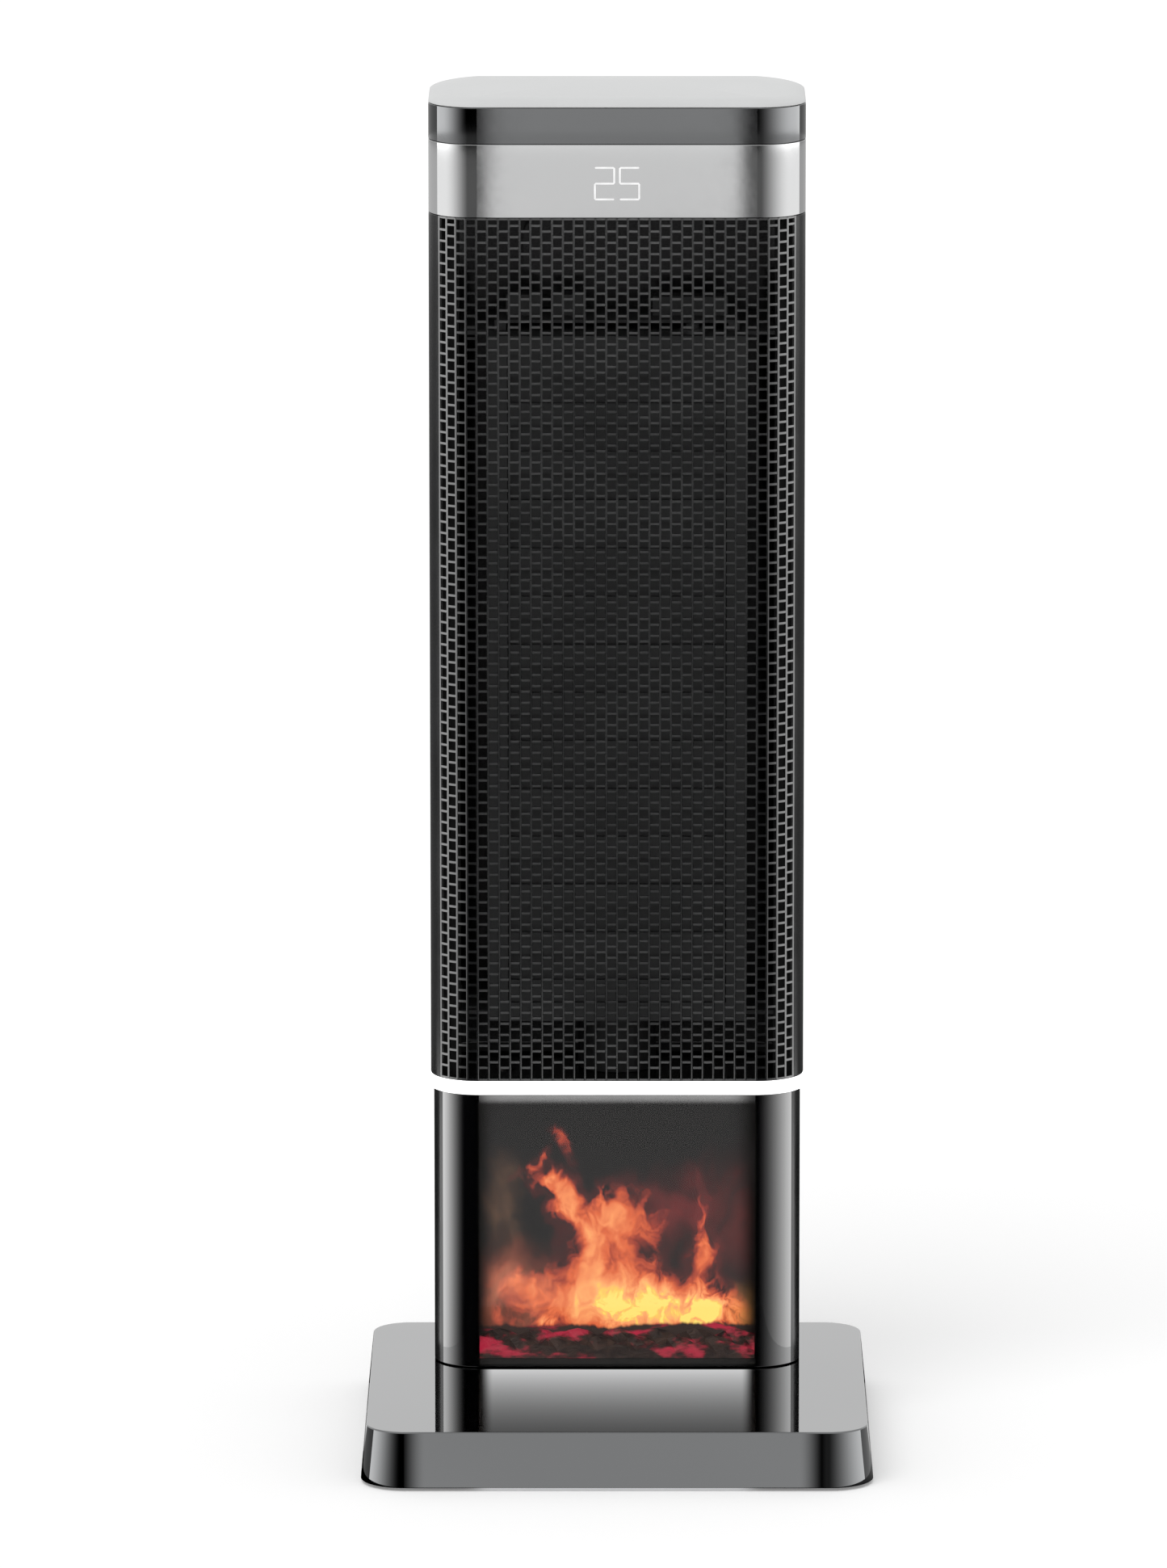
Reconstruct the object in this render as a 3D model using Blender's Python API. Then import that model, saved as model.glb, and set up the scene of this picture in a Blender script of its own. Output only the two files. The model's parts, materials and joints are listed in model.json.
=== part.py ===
"""Tower heater with a flame picture window, on a square base that it swivels on.

Metres, +Z up. The front faces -Y, and +X is to the right of someone who looks at the front.
The origin is the centre of the base's footprint on the floor.
"""

import math

import bmesh
import bpy
from mathutils import Matrix, Vector

# Fits and cuts
FIT = 0.0003
RUNNING_FIT = 0.0004
OVERRUN = 0.002

# Base
BASE_WIDTH = 0.271
BASE_DEPTH = 0.2564
BASE_HEIGHT = 0.0312
BASE_RADIUS = 0.0235
BASE_FLARE = 0.0028
BASE_EDGE = 0.0007
BASE_WALL = 0.0025
RIM_CLEARANCE = 0.0015
PLATE_LIFT = 0.0005
PLATE_THICKNESS = 0.002
POST_RADIUS = 0.004
POST_MARGIN = 0.014
FOOT_RADIUS = 0.009
FOOT_MARGIN = 0.030
FOOT_STEM_RADIUS = 0.003
FOOT_STEM_HEIGHT = 0.0015
BALLAST_HEIGHT = 0.008
BALLAST_RADIUS = 0.008
BALLAST_SETBACK = 0.020
BALLAST_STEM_GAP = 0.0025
BALLAST_MOTOR_GAP = 0.028

# Swivel between base and column
SWIVEL_GAP = 0.0015
HUB_RADIUS = 0.020
HUB_BORE = 0.013
HUB_FLANGE = 0.004
HUB_FLANGE_THICKNESS = 0.002
BEARING_WALL = 0.0035
BEARING_FLANGE = 0.007
GEAR_MODULE = 0.0015
GEAR_TEETH = 36
PINION_TEETH = 12
GEAR_THICKNESS = 0.006
GEAR_DROP = 0.002
GEAR_BACKLASH = 0.0005
PRESSURE_ANGLE = math.radians(20)
PINION_BORE_DEPTH = 0.008
PINION_SHAFT_RADIUS = 0.002
MOTOR_OFFSET = 0.008
MOTOR_RADIUS = 0.014
MOTOR_HEADROOM = 0.0018
MOTOR_BOSS_RADIUS = 0.0045
MOTOR_BOSS_HEIGHT = 0.0012
MOTOR_EAR_LENGTH = 0.0075
MOTOR_EAR_WIDTH = 0.007
MOTOR_EAR_THICKNESS = 0.001

# Tip-over switch and cord gland in the base
TIP_X = -0.075
TIP_Y = 0.030
TIP_HOUSING_WIDTH = 0.020
TIP_HOUSING_HEIGHT = 0.014
PLUNGER_RADIUS = 0.004
PLUNGER_LENGTH = 0.012
PLUNGER_COLLAR = 0.0016
PLUNGER_COLLAR_THICKNESS = 0.002
GLAND_X = 0.075
GLAND_RADIUS = 0.006
GLAND_BORE = 0.0036
GLAND_LENGTH = 0.016
GLAND_NUT = 0.003
GLAND_NUT_THICKNESS = 0.004
GLAND_SINK = 0.0005

# Column
COLUMN_WIDTH = 0.200
COLUMN_DEPTH = 0.102
COLUMN_RADIUS = 0.026
COLUMN_REAR_MARGIN = 0.0095
LOWER_INSET = 0.00165
WINDOW_HEIGHT = 0.1493
LIGHT_HEIGHT = 0.0078
GRILLE_HEIGHT = 0.4662
DISPLAY_HEIGHT = 0.0391
TOP_BAND_HEIGHT = 0.0194
LID_HEIGHT = 0.0062
LID_CROWN = 0.001
LID_SHOULDER = 0.009
LID_WALL = 0.0022
SKIRT_DEPTH = 0.004
SKIRT_WALL = 0.0018
COVER_WALL = 0.0022
WINDOW_WALL = 0.0025
BAND_WALL = 0.0022
LIGHT_WALL = 0.004
DECK_THICKNESS = 0.003
WIRE_HOLE_RADIUS = 0.006
WIRE_HOLE_X = 0.060
CORNER_STEPS = 5
SEAM_STEP = 3
PLAIN_STEPS = 3

# Grille pattern
GRILLE_WALL = 0.0016
GRILLE_COLUMNS = 12
GRILLE_ROWS = 14
GRILLE_BAR = 0.0022
GRILLE_EDGE = 0.004

# Rear cover
SLOT_ROWS = 14
SLOT_HEIGHT = 0.0045
SLOT_WIDTH = 0.056
SLOT_GAP = 0.012
SLOT_MARGIN = 0.015
CUP_WIDTH = 0.100
CUP_HEIGHT = 0.030
CUP_DEPTH = 0.024
CUP_WALL = 0.002
CUP_RADIUS = 0.008
CUP_FLANGE = 0.004
CUP_DROP = 0.012

# Flame chamber
SCREEN_GAP = 0.016
SCREEN_WIDTH = 0.168
SCREEN_THICKNESS = 0.002
EMBER_HEIGHT = 0.013
EMBER_RIPPLE = 0.004
EMBER_LUMPS = 7
SPINDLE_HEIGHT = 0.072
SPINDLE_SETBACK = 0.028
SPINDLE_RADIUS = 0.0025
SPINDLE_END = 0.0025
PADDLE_COUNT = 6
PADDLE_REACH = 0.014
PADDLE_LENGTH = 0.016
PADDLE_THICKNESS = 0.001
BRACKET_X = 0.083
BRACKET_DEPTH = 0.020
BRACKET_THICKNESS = 0.0025
BRACKET_CROWN = 0.012
SPINDLE_MOTOR_RADIUS = 0.011
SPINDLE_MOTOR_LENGTH = 0.0065
LED_BOARD_WIDTH = 0.140
LED_BOARD_DEPTH = 0.014
LED_BOARD_THICKNESS = 0.0016
LED_SIZE = 0.005
LED_HEIGHT = 0.002
LED_COUNT = 5

# Power switch
SWITCH_X = -0.052
SWITCH_HEIGHT = 0.045
ROCKER_WIDTH = 0.0096
ROCKER_LENGTH = 0.015
ROCKER_DEPTH = 0.005
ROCKER_RAKE = 0.0012
ROCKER_TRAVEL = math.radians(18)
SWITCH_CLEARANCE = 0.0006
SWITCH_WALL = 0.0015
SWITCH_BEZEL = 0.0025
SWITCH_BEZEL_THICKNESS = 0.0012
SWITCH_DEPTH = 0.014

# Blower and heating element
MOTOR_BAY = 0.036
ELECTRONICS_BAY = 0.064
BLOWER_MOTOR_RADIUS = 0.021
BLOWER_MOTOR_NECK = 0.010
BLOWER_MOTOR_STEP = 0.005
BLOWER_SHAFT_RADIUS = 0.003
SHAFT_SEAT = 0.010
BLOWER_SETBACK = 0.012
WHEEL_RADIUS = 0.030
WHEEL_GAP = 0.003
WHEEL_DISCS = 3
WHEEL_DISC_THICKNESS = 0.002
BLADE_COUNT = 16
BLADE_DEPTH = 0.008
BLADE_THICKNESS = 0.001
BLADE_LEAN = math.radians(28)
BLADE_SINK = 0.001
BLOWER_PLATE = 0.002
TOP_BEARING_RADIUS = 0.008
TOP_BEARING_STEP = 0.002
SCROLL_WALL = 0.002
SCROLL_GAP = 0.0035
SCROLL_GROWTH = 0.010
SCROLL_START = math.radians(105)
SCROLL_END = math.radians(205)
SCROLL_STEPS = 10
TONGUE_NOSE = 0.003
TONGUE_ANGLE = math.radians(-12)
UPRIGHT_WIDTH = 0.0115
UPRIGHT_DEPTH = 0.040
UPRIGHT_WALL = 0.0015
HEATER_WIDTH = 0.116
HEATER_DEPTH = 0.014
HEATER_FINS = 14
HEATER_FIN_GAP_SHARE = 0.55
HEATER_FIN_DEPTH = 0.004
FRAME_RAIL = 0.010
FRAME_DEPTH = 0.018
FRAME_GAP = 0.004
CUTOUT_RADIUS = 0.007
CUTOUT_HEIGHT = 0.005
CUTOUT_X = 0.040

# Boards and display
BOARD_THICKNESS = 0.0016
BOARD_LEG = 0.004
BOARD_LEG_WIDTH = 0.006
POWER_BOARD_WIDTH = 0.130
POWER_BOARD_DEPTH = 0.046
RELAY_WIDTH = 0.018
RELAY_DEPTH = 0.014
RELAY_HEIGHT = 0.011
SINK_WIDTH = 0.040
SINK_HEIGHT = 0.010
DISPLAY_WIDTH = 0.060
DISPLAY_MODULE_HEIGHT = 0.026
DISPLAY_DEPTH = 0.008
TOUCH_WIDTH = 0.110
TOUCH_DEPTH = 0.034
LIGHT_BOARD_WIDTH = 0.005

# Levels and places worked out from the sizes above
COLUMN_Y = BASE_DEPTH / 2 - COLUMN_REAR_MARGIN - COLUMN_DEPTH / 2
COLUMN_FRONT = COLUMN_Y - COLUMN_DEPTH / 2
COLUMN_REAR = COLUMN_Y + COLUMN_DEPTH / 2
Z_COLUMN = BASE_HEIGHT + SWIVEL_GAP
Z_LIGHT = Z_COLUMN + WINDOW_HEIGHT
Z_GRILLE = Z_LIGHT + LIGHT_HEIGHT
Z_DISPLAY = Z_GRILLE + GRILLE_HEIGHT
Z_TOP_BAND = Z_DISPLAY + DISPLAY_HEIGHT
Z_LID = Z_TOP_BAND + TOP_BAND_HEIGHT
BASE_PLATE_TOP = RIM_CLEARANCE + PLATE_LIFT + PLATE_THICKNESS
BASE_CEILING = BASE_HEIGHT - BASE_WALL
GEAR_TOP = BASE_CEILING - GEAR_DROP
GEAR_BOTTOM = GEAR_TOP - GEAR_THICKNESS
PINION_Y = COLUMN_Y - GEAR_MODULE * (GEAR_TEETH + PINION_TEETH) / 2
FLOOR_TOP = Z_COLUMN + DECK_THICKNESS
MID_DECK_TOP = Z_LIGHT + DECK_THICKNESS
LOWER_PLATE_Z = MID_DECK_TOP + MOTOR_BAY + FIT
UPPER_PLATE_Z = Z_DISPLAY - ELECTRONICS_BAY - BLOWER_PLATE
BLOWER_Y = COLUMN_Y + BLOWER_SETBACK
SPINDLE_Y = COLUMN_FRONT + LOWER_INSET + WINDOW_WALL + SCREEN_GAP + SCREEN_THICKNESS + SPINDLE_SETBACK
SPINDLE_Z = Z_COLUMN + SPINDLE_HEIGHT
INNER_HALF_WIDTH = COLUMN_WIDTH / 2 - LIGHT_WALL - FIT
PLATE_HALF_WIDTH = INNER_HALF_WIDTH - UPRIGHT_WIDTH - FIT

# Colours: red, green, blue, then roughness, then metallic
FINISHES = {
    "smoked_gloss": ((0.05, 0.05, 0.055), 0.08, 0.7),
    "silver_gloss": ((0.53, 0.53, 0.53), 0.10, 0.8),
    "black_glass": ((0.004, 0.004, 0.005), 0.03, 0.0),
    "black_steel": ((0.02, 0.02, 0.022), 0.35, 0.4),
    "black_plastic": ((0.012, 0.012, 0.013), 0.45, 0.0),
    "light_satin": ((0.64, 0.65, 0.65), 0.42, 0.0),
    "white_diffuser": ((0.90, 0.90, 0.90), 0.40, 0.0),
    "grey_plastic": ((0.25, 0.25, 0.26), 0.50, 0.0),
    "white_plastic": ((0.75, 0.75, 0.73), 0.45, 0.0),
    "rubber": ((0.02, 0.02, 0.02), 0.80, 0.0),
    "zinc_steel": ((0.55, 0.56, 0.58), 0.38, 1.0),
    "aluminium": ((0.60, 0.61, 0.62), 0.35, 1.0),
    "brass": ((0.55, 0.40, 0.16), 0.30, 1.0),
    "circuit_board": ((0.02, 0.14, 0.06), 0.50, 0.0),
    "flame_print": ((0.60, 0.16, 0.02), 0.45, 0.0),
    "ember_resin": ((0.25, 0.03, 0.02), 0.40, 0.0),
    "red_plastic": ((0.45, 0.02, 0.02), 0.35, 0.0),
}


def clear_scene():
    for obj in list(bpy.data.objects):
        bpy.data.objects.remove(obj, do_unlink=True)


def finish(name):
    """The material of this name, made when first asked for."""
    material = bpy.data.materials.get(name)
    if material is None:
        colour, roughness, metallic = FINISHES[name]
        material = bpy.data.materials.new(name)
        material.use_nodes = True
        shader = material.node_tree.nodes["Principled BSDF"]
        shader.inputs["Base Color"].default_value = (*colour, 1)
        shader.inputs["Roughness"].default_value = roughness
        shader.inputs["Metallic"].default_value = metallic
        material.diffuse_color = (*colour, 1)
    return material


def object_from(name, build):
    """An object whose mesh the function build(bm) makes, with its faces turned outwards."""
    bm = bmesh.new()
    build(bm)
    bmesh.ops.recalc_face_normals(bm, faces=bm.faces)
    mesh = bpy.data.meshes.new(name)
    bm.to_mesh(mesh)
    bm.free()
    obj = bpy.data.objects.new(name, mesh)
    bpy.context.scene.collection.objects.link(obj)
    return obj


def loft(name, loops, closed=False):
    """A skin through loops of equally many points. The ends are capped, or join when closed."""

    def build(bm):
        rings = [[bm.verts.new(point) for point in loop] for loop in loops]
        pairs = list(zip(rings, rings[1:]))
        if closed:
            pairs.append((rings[-1], rings[0]))
        for lower, upper in pairs:
            for i in range(len(lower)):
                j = (i + 1) % len(lower)
                bm.faces.new((lower[i], lower[j], upper[j], upper[i]))
        if not closed:
            bm.faces.new(rings[0])
            bm.faces.new(rings[-1])

    return object_from(name, build)


def prism(name, outline, low, high):
    """The outline, a list of (x, y), as a solid from height low to height high."""
    return loft(name, [[(x, y, z) for x, y in outline] for z in (low, high)])


def box(name, low, high):
    outline = [(low[0], low[1]), (high[0], low[1]), (high[0], high[1]), (low[0], high[1])]
    return prism(name, outline, low[2], high[2])


def centred_box(name, centre, size):
    low = [c - s / 2 for c, s in zip(centre, size)]
    high = [c + s / 2 for c, s in zip(centre, size)]
    return box(name, low, high)


def circle(radius, steps, centre=(0, 0), start=0):
    angles = [start + math.tau * i / steps for i in range(steps)]
    return [(centre[0] + radius * math.cos(a), centre[1] + radius * math.sin(a)) for a in angles]


def lathe(name, profile, steps, closed=False):
    """The profile, a list of (radius, height), turned about the Z axis. Closed makes a ring."""
    loops = [[(x, y, height) for x, y in circle(radius, steps)] for radius, height in profile]
    return loft(name, loops, closed)


def cylinder(name, radius, low, high, steps=32, centre=(0, 0)):
    return prism(name, circle(radius, steps, centre), low, high)


def reshape(obj, matrix):
    """Moves the object's mesh by the matrix and keeps its faces outwards."""
    obj.data.transform(matrix)
    return obj


def shift(obj, x=0, y=0, z=0):
    return reshape(obj, Matrix.Translation((x, y, z)))


def settle(obj):
    """Puts the result of the object's modifiers into its mesh."""
    graph = bpy.context.evaluated_depsgraph_get()
    mesh = bpy.data.meshes.new_from_object(obj.evaluated_get(graph))
    obj.modifiers.clear()
    old = obj.data
    obj.data = mesh
    bpy.data.meshes.remove(old)


def boolean(target, tools, operation):
    for tool in tools:
        modifier = target.modifiers.new(operation.title(), "BOOLEAN")
        modifier.object = tool
        modifier.operation = operation
        modifier.solver = "EXACT"
    settle(target)
    for tool in tools:
        bpy.data.objects.remove(tool, do_unlink=True)
    return target


def cut(target, *tools):
    return boolean(target, tools, "DIFFERENCE")


def join(target, *tools):
    return boolean(target, tools, "UNION")


def dress(obj, material, origin, parent=None):
    """Gives the piece its finish, its origin and, where it has one, the empty that carries it."""
    obj.data.materials.clear()
    obj.data.materials.append(finish(material))
    obj.data.shade_smooth()
    obj.data.set_sharp_from_angle(angle=math.radians(30))
    obj.data.transform(Matrix.Translation(-Vector(origin)))
    obj.location = origin
    if parent is not None:
        obj.parent = parent
        obj.location = Vector(origin) - Vector(parent["place"])
    return obj


def axis_empty(name, place, parent=None):
    """An empty on a joint's axis. It keeps its place in the world as a property."""
    empty = bpy.data.objects.new(name, None)
    bpy.context.scene.collection.objects.link(empty)
    empty["place"] = place
    empty.location = place
    if parent is not None:
        empty.parent = parent
        empty.location = Vector(place) - Vector(parent["place"])
    return empty


def corner_arc(sign_x, sign_y, half_width, half_depth, radius, inset, angles):
    """Points of one rounded corner, moved inwards by the inset."""
    reach = max(radius - inset, radius / CORNER_STEPS)
    centre_x = sign_x * (half_width - inset - reach)
    centre_y = sign_y * (half_depth - inset - reach)
    return [(centre_x + reach * math.cos(a), centre_y + reach * math.sin(a)) for a in angles]


def step_angles(first, last, steps):
    return [math.radians(first + (last - first) * i / steps) for i in range(steps + 1)]


def rounded_rectangle(width, depth, radius, inset=0, steps=PLAIN_STEPS, centre_y=0):
    """A rectangle with round corners, anticlockwise from its right side, moved inwards by the inset."""
    points = []
    for start, sign_x, sign_y in ((0, 1, 1), (90, -1, 1), (180, -1, -1), (270, 1, -1)):
        angles = step_angles(start, start + 90, steps)
        points += corner_arc(sign_x, sign_y, width / 2, depth / 2, radius, inset, angles)
    return [(x, y + centre_y) for x, y in points]


def base_outline(inset, steps=CORNER_STEPS):
    return rounded_rectangle(BASE_WIDTH, BASE_DEPTH, BASE_RADIUS, inset, steps)


def column_outline(inset, steps=CORNER_STEPS):
    return rounded_rectangle(COLUMN_WIDTH, COLUMN_DEPTH, COLUMN_RADIUS, inset, steps, COLUMN_Y)


def at_height(outline, z):
    return [(x, y, z) for x, y in outline]


def column_ring(name, inset, wall, low, high):
    """A band round the whole column."""
    inner = inset + wall
    profile = ((inset, low), (inset, high), (inner, high), (inner, low))
    return loft(name, [at_height(column_outline(i), z) for i, z in profile], closed=True)


def seam_angle(inset):
    """How far the end of a wall stands back from the seam between front and rear."""
    return FIT / 2 / (COLUMN_RADIUS - inset)


def front_path(inset, back_off):
    """Points from the left seam round the front to the right seam."""
    turn = 90 * SEAM_STEP / CORNER_STEPS
    left = step_angles(270 - turn, 270, SEAM_STEP)
    right = step_angles(270, 270 + turn, SEAM_STEP)
    left[0] += back_off
    right[-1] -= back_off
    half = (COLUMN_WIDTH / 2, COLUMN_DEPTH / 2, COLUMN_RADIUS, inset)
    points = corner_arc(-1, -1, *half, left) + corner_arc(1, -1, *half, right)
    return [(x, y + COLUMN_Y) for x, y in points]


def rear_path(inset, back_off):
    """Points from the right seam round the rear to the left seam."""
    turn = 90 * SEAM_STEP / CORNER_STEPS
    rest = CORNER_STEPS - SEAM_STEP
    half = (COLUMN_WIDTH / 2, COLUMN_DEPTH / 2, COLUMN_RADIUS, inset)
    first = step_angles(270 + turn, 360, rest)
    last = step_angles(180, 270 - turn, rest)
    first[0] += back_off
    last[-1] -= back_off
    points = corner_arc(1, -1, *half, first)
    points += corner_arc(1, 1, *half, step_angles(0, 90, CORNER_STEPS))
    points += corner_arc(-1, 1, *half, step_angles(90, 180, CORNER_STEPS))
    points += corner_arc(-1, -1, *half, last)
    return [(x, y + COLUMN_Y) for x, y in points]


def wrap(name, path, inset, wall, low, high):
    """A wall of even thickness that follows the path round the column."""
    back_off = seam_angle(inset + wall)
    outline = path(inset, back_off) + path(inset + wall, back_off)[::-1]
    return prism(name, outline, low, high)


def base_inner_inset(z):
    """How far the base cover's inner face stands in from the footprint at height z."""
    return BASE_WALL + BASE_FLARE * (z - RIM_CLEARANCE) / (BASE_HEIGHT - RIM_CLEARANCE)


def corners(half_x, half_y):
    return [(sx * half_x, sy * half_y) for sx in (-1, 1) for sy in (-1, 1)]


def make_base_cover():
    """A flared tray, open below, with screw posts and the holes for the swivel and the cord."""
    skin = (
        (BASE_FLARE + BASE_EDGE, BASE_HEIGHT),
        (BASE_FLARE, BASE_HEIGHT - BASE_EDGE),
        (0, RIM_CLEARANCE),
        (BASE_WALL, RIM_CLEARANCE),
        (BASE_FLARE + BASE_WALL, BASE_CEILING),
    )
    cover = loft("base_cover", [at_height(base_outline(i), z) for i, z in skin])
    posts = [
        cylinder("post", POST_RADIUS, BASE_PLATE_TOP + FIT, BASE_HEIGHT - BASE_WALL / 2, 8, place)
        for place in corners(BASE_WIDTH / 2 - POST_MARGIN, BASE_DEPTH / 2 - POST_MARGIN)
    ]
    join(cover, *posts)
    hole_radius = HUB_RADIUS + BEARING_WALL + FIT
    hole = cylinder("hole", hole_radius, BASE_CEILING - OVERRUN, BASE_HEIGHT + OVERRUN, 28, (0, COLUMN_Y))
    reach = GLAND_LENGTH + OVERRUN
    gland_hole = cylinder("gland_hole", GLAND_RADIUS + FIT, -reach, reach, 16)
    lay_along_y(gland_hole)
    shift(gland_hole, GLAND_X, BASE_DEPTH / 2, gland_height())
    cut(cover, hole, gland_hole)
    return dress(cover, "smoked_gloss", (0, 0, 0))


def gland_height():
    return (BASE_PLATE_TOP + BASE_CEILING) / 2


def lay_along_y(obj):
    """Turns a piece made about the Z axis so that its top points to +Y."""
    return reshape(obj, Matrix.Rotation(math.radians(-90), 4, "X"))


def lay_along_x(obj):
    """Turns a piece made about the Z axis so that its top points to +X."""
    return reshape(obj, Matrix.Rotation(math.radians(90), 4, "Y"))


def foot_places():
    return corners(BASE_WIDTH / 2 - FOOT_MARGIN, BASE_DEPTH / 2 - FOOT_MARGIN)


def make_base_plate():
    """The plate that closes the base from below, with holes for the feet's stems and the plunger."""
    low = RIM_CLEARANCE + PLATE_LIFT
    inset = base_inner_inset(BASE_PLATE_TOP) + FIT
    plate = prism("base_plate", base_outline(inset, PLAIN_STEPS), low, BASE_PLATE_TOP)
    span = (low - OVERRUN, BASE_PLATE_TOP + OVERRUN)
    holes = [cylinder("hole", FOOT_STEM_RADIUS + FIT, *span, 12, place) for place in foot_places()]
    holes.append(cylinder("hole", PLUNGER_RADIUS + RUNNING_FIT, *span, 14, (TIP_X, TIP_Y)))
    cut(plate, *holes)
    return dress(plate, "zinc_steel", (0, 0, low))


def make_foot(number, place):
    """A rubber foot with a rounded rim and a stem that presses into the base plate."""
    sole = RIM_CLEARANCE + PLATE_LIFT - FIT
    profile = (
        (FOOT_RADIUS - sole / 2, 0),
        (FOOT_RADIUS, sole / 2),
        (FOOT_RADIUS, sole),
        (FOOT_STEM_RADIUS, sole),
        (FOOT_STEM_RADIUS, BASE_PLATE_TOP + FOOT_STEM_HEIGHT),
    )
    foot = shift(lathe(f"foot_{number}", profile, 12), *place)
    return dress(foot, "rubber", (*place, 0))


def make_ballast_plate():
    """A steel plate on the base plate, between the feet's stems and in front of the swivel motor."""
    low = BASE_PLATE_TOP + FIT
    half = BASE_WIDTH / 2 - FOOT_MARGIN - FOOT_STEM_RADIUS - BALLAST_STEM_GAP
    front = BALLAST_SETBACK - BASE_DEPTH / 2
    rear = PINION_Y - MOTOR_OFFSET - MOTOR_RADIUS - BALLAST_MOTOR_GAP
    outline = rounded_rectangle(2 * half, rear - front, BALLAST_RADIUS)
    centre_y = (front + rear) / 2
    plate = prism("ballast_plate", [(x, y + centre_y) for x, y in outline], low, low + BALLAST_HEIGHT)
    return dress(plate, "zinc_steel", (0, centre_y, low))


def make_tip_switch():
    """The switch's housing on the base plate, with a stepped bore for the plunger and its collar."""
    low = BASE_PLATE_TOP + FIT
    half = TIP_HOUSING_WIDTH / 2
    top = low + TIP_HOUSING_HEIGHT
    housing = box("tip_switch", (TIP_X - half, TIP_Y - half, low), (TIP_X + half, TIP_Y + half, top))
    bore = cylinder(
        "bore",
        PLUNGER_RADIUS + PLUNGER_COLLAR + RUNNING_FIT,
        low - OVERRUN,
        PLUNGER_LENGTH + FIT + FIT,
        24,
        (TIP_X, TIP_Y),
    )
    cut(housing, bore)
    return dress(housing, "black_plastic", (TIP_X, TIP_Y, low))


def make_tip_plunger(parent):
    """The pin under the base. It stands on the floor and drops when the heater is lifted or falls over."""
    collar = PLUNGER_RADIUS + PLUNGER_COLLAR
    tip = FIT / 2
    profile = (
        (PLUNGER_RADIUS - FIT, tip),
        (PLUNGER_RADIUS, tip + FIT),
        (PLUNGER_RADIUS, PLUNGER_LENGTH - PLUNGER_COLLAR_THICKNESS),
        (collar, PLUNGER_LENGTH - PLUNGER_COLLAR_THICKNESS),
        (collar, PLUNGER_LENGTH),
    )
    plunger = shift(lathe("tip_plunger", profile, 14), TIP_X, TIP_Y)
    return dress(plunger, "white_plastic", (TIP_X, TIP_Y, 0), parent)


def make_cord_gland():
    """The bush that a mains lead would pass through, held by its nut inside the rear wall."""
    outer = GLAND_LENGTH
    nut_face = outer - base_inner_inset(RIM_CLEARANCE) - BASE_FLARE - FIT
    profile = (
        (GLAND_BORE, 0),
        (GLAND_RADIUS, 0),
        (GLAND_RADIUS, nut_face - GLAND_NUT_THICKNESS),
        (GLAND_RADIUS + GLAND_NUT, nut_face - GLAND_NUT_THICKNESS),
        (GLAND_RADIUS + GLAND_NUT, nut_face),
        (GLAND_RADIUS, nut_face),
        (GLAND_RADIUS, outer),
        (GLAND_BORE, outer),
    )
    gland = lay_along_y(lathe("cord_gland", profile, 16, closed=True))
    rear = BASE_DEPTH / 2 - (base_inner_inset(gland_height()) - BASE_WALL) - GLAND_SINK
    shift(gland, GLAND_X, rear - outer, gland_height())
    return dress(gland, "black_plastic", (GLAND_X, rear, gland_height()))


def make_swivel_bearing():
    """The ring in the base cover's hole that the hub turns in, with the flange that carries the column."""
    inner = HUB_RADIUS + RUNNING_FIT
    outer = HUB_RADIUS + BEARING_WALL
    profile = (
        (inner, BASE_CEILING),
        (outer, BASE_CEILING),
        (outer, BASE_HEIGHT + FIT),
        (outer + BEARING_FLANGE, BASE_HEIGHT + FIT),
        (outer + BEARING_FLANGE, Z_COLUMN - FIT),
        (inner, Z_COLUMN - FIT),
    )
    ring = shift(lathe("swivel_bearing", profile, 28, closed=True), y=COLUMN_Y)
    return dress(ring, "white_plastic", (0, COLUMN_Y, BASE_HEIGHT))


def make_swivel_hub(parent):
    """The hollow neck under the column's floor. The wires pass through it into the base."""
    flange_top = GEAR_BOTTOM - FIT
    flange_low = flange_top - HUB_FLANGE_THICKNESS
    profile = (
        (HUB_BORE, flange_low),
        (HUB_RADIUS + HUB_FLANGE, flange_low),
        (HUB_RADIUS + HUB_FLANGE, flange_top),
        (HUB_RADIUS, flange_top),
        (HUB_RADIUS, Z_COLUMN - FIT),
        (HUB_BORE, Z_COLUMN - FIT),
    )
    hub = shift(lathe("swivel_hub", profile, 28, closed=True), y=COLUMN_Y)
    return dress(hub, "zinc_steel", (0, COLUMN_Y, Z_COLUMN), parent)


def involute(angle):
    return math.tan(angle) - angle


def tooth_half_angle(radius, teeth, module):
    """Half the angle that an involute tooth covers at this radius, less the backlash."""
    pitch = module * teeth / 2
    base = pitch * math.cos(PRESSURE_ANGLE)
    pressure = math.acos(min(base / radius, 1))
    half = math.pi / 2 / teeth + involute(PRESSURE_ANGLE) - involute(pressure)
    return half - GEAR_BACKLASH / 4 / pitch


def gear_outline(teeth, module, start):
    """A spur gear's outline with the middle of a tooth at the angle start."""
    pitch = module * teeth / 2
    addendum = 0.9 * module
    dedendum = 1.2 * module
    root = pitch - dedendum
    levels = (root, pitch, pitch + addendum)
    base = pitch * math.cos(PRESSURE_ANGLE)
    halves = [tooth_half_angle(max(radius, base), teeth, module) for radius in levels]
    flank = list(zip(levels, halves))
    points = []
    for number in range(teeth):
        middle = start + math.tau * number / teeth
        side = [(radius, middle - half) for radius, half in flank]
        side += [(radius, middle + half) for radius, half in flank[::-1]]
        points += [(radius * math.cos(a), radius * math.sin(a)) for radius, a in side]
    return points


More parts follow.
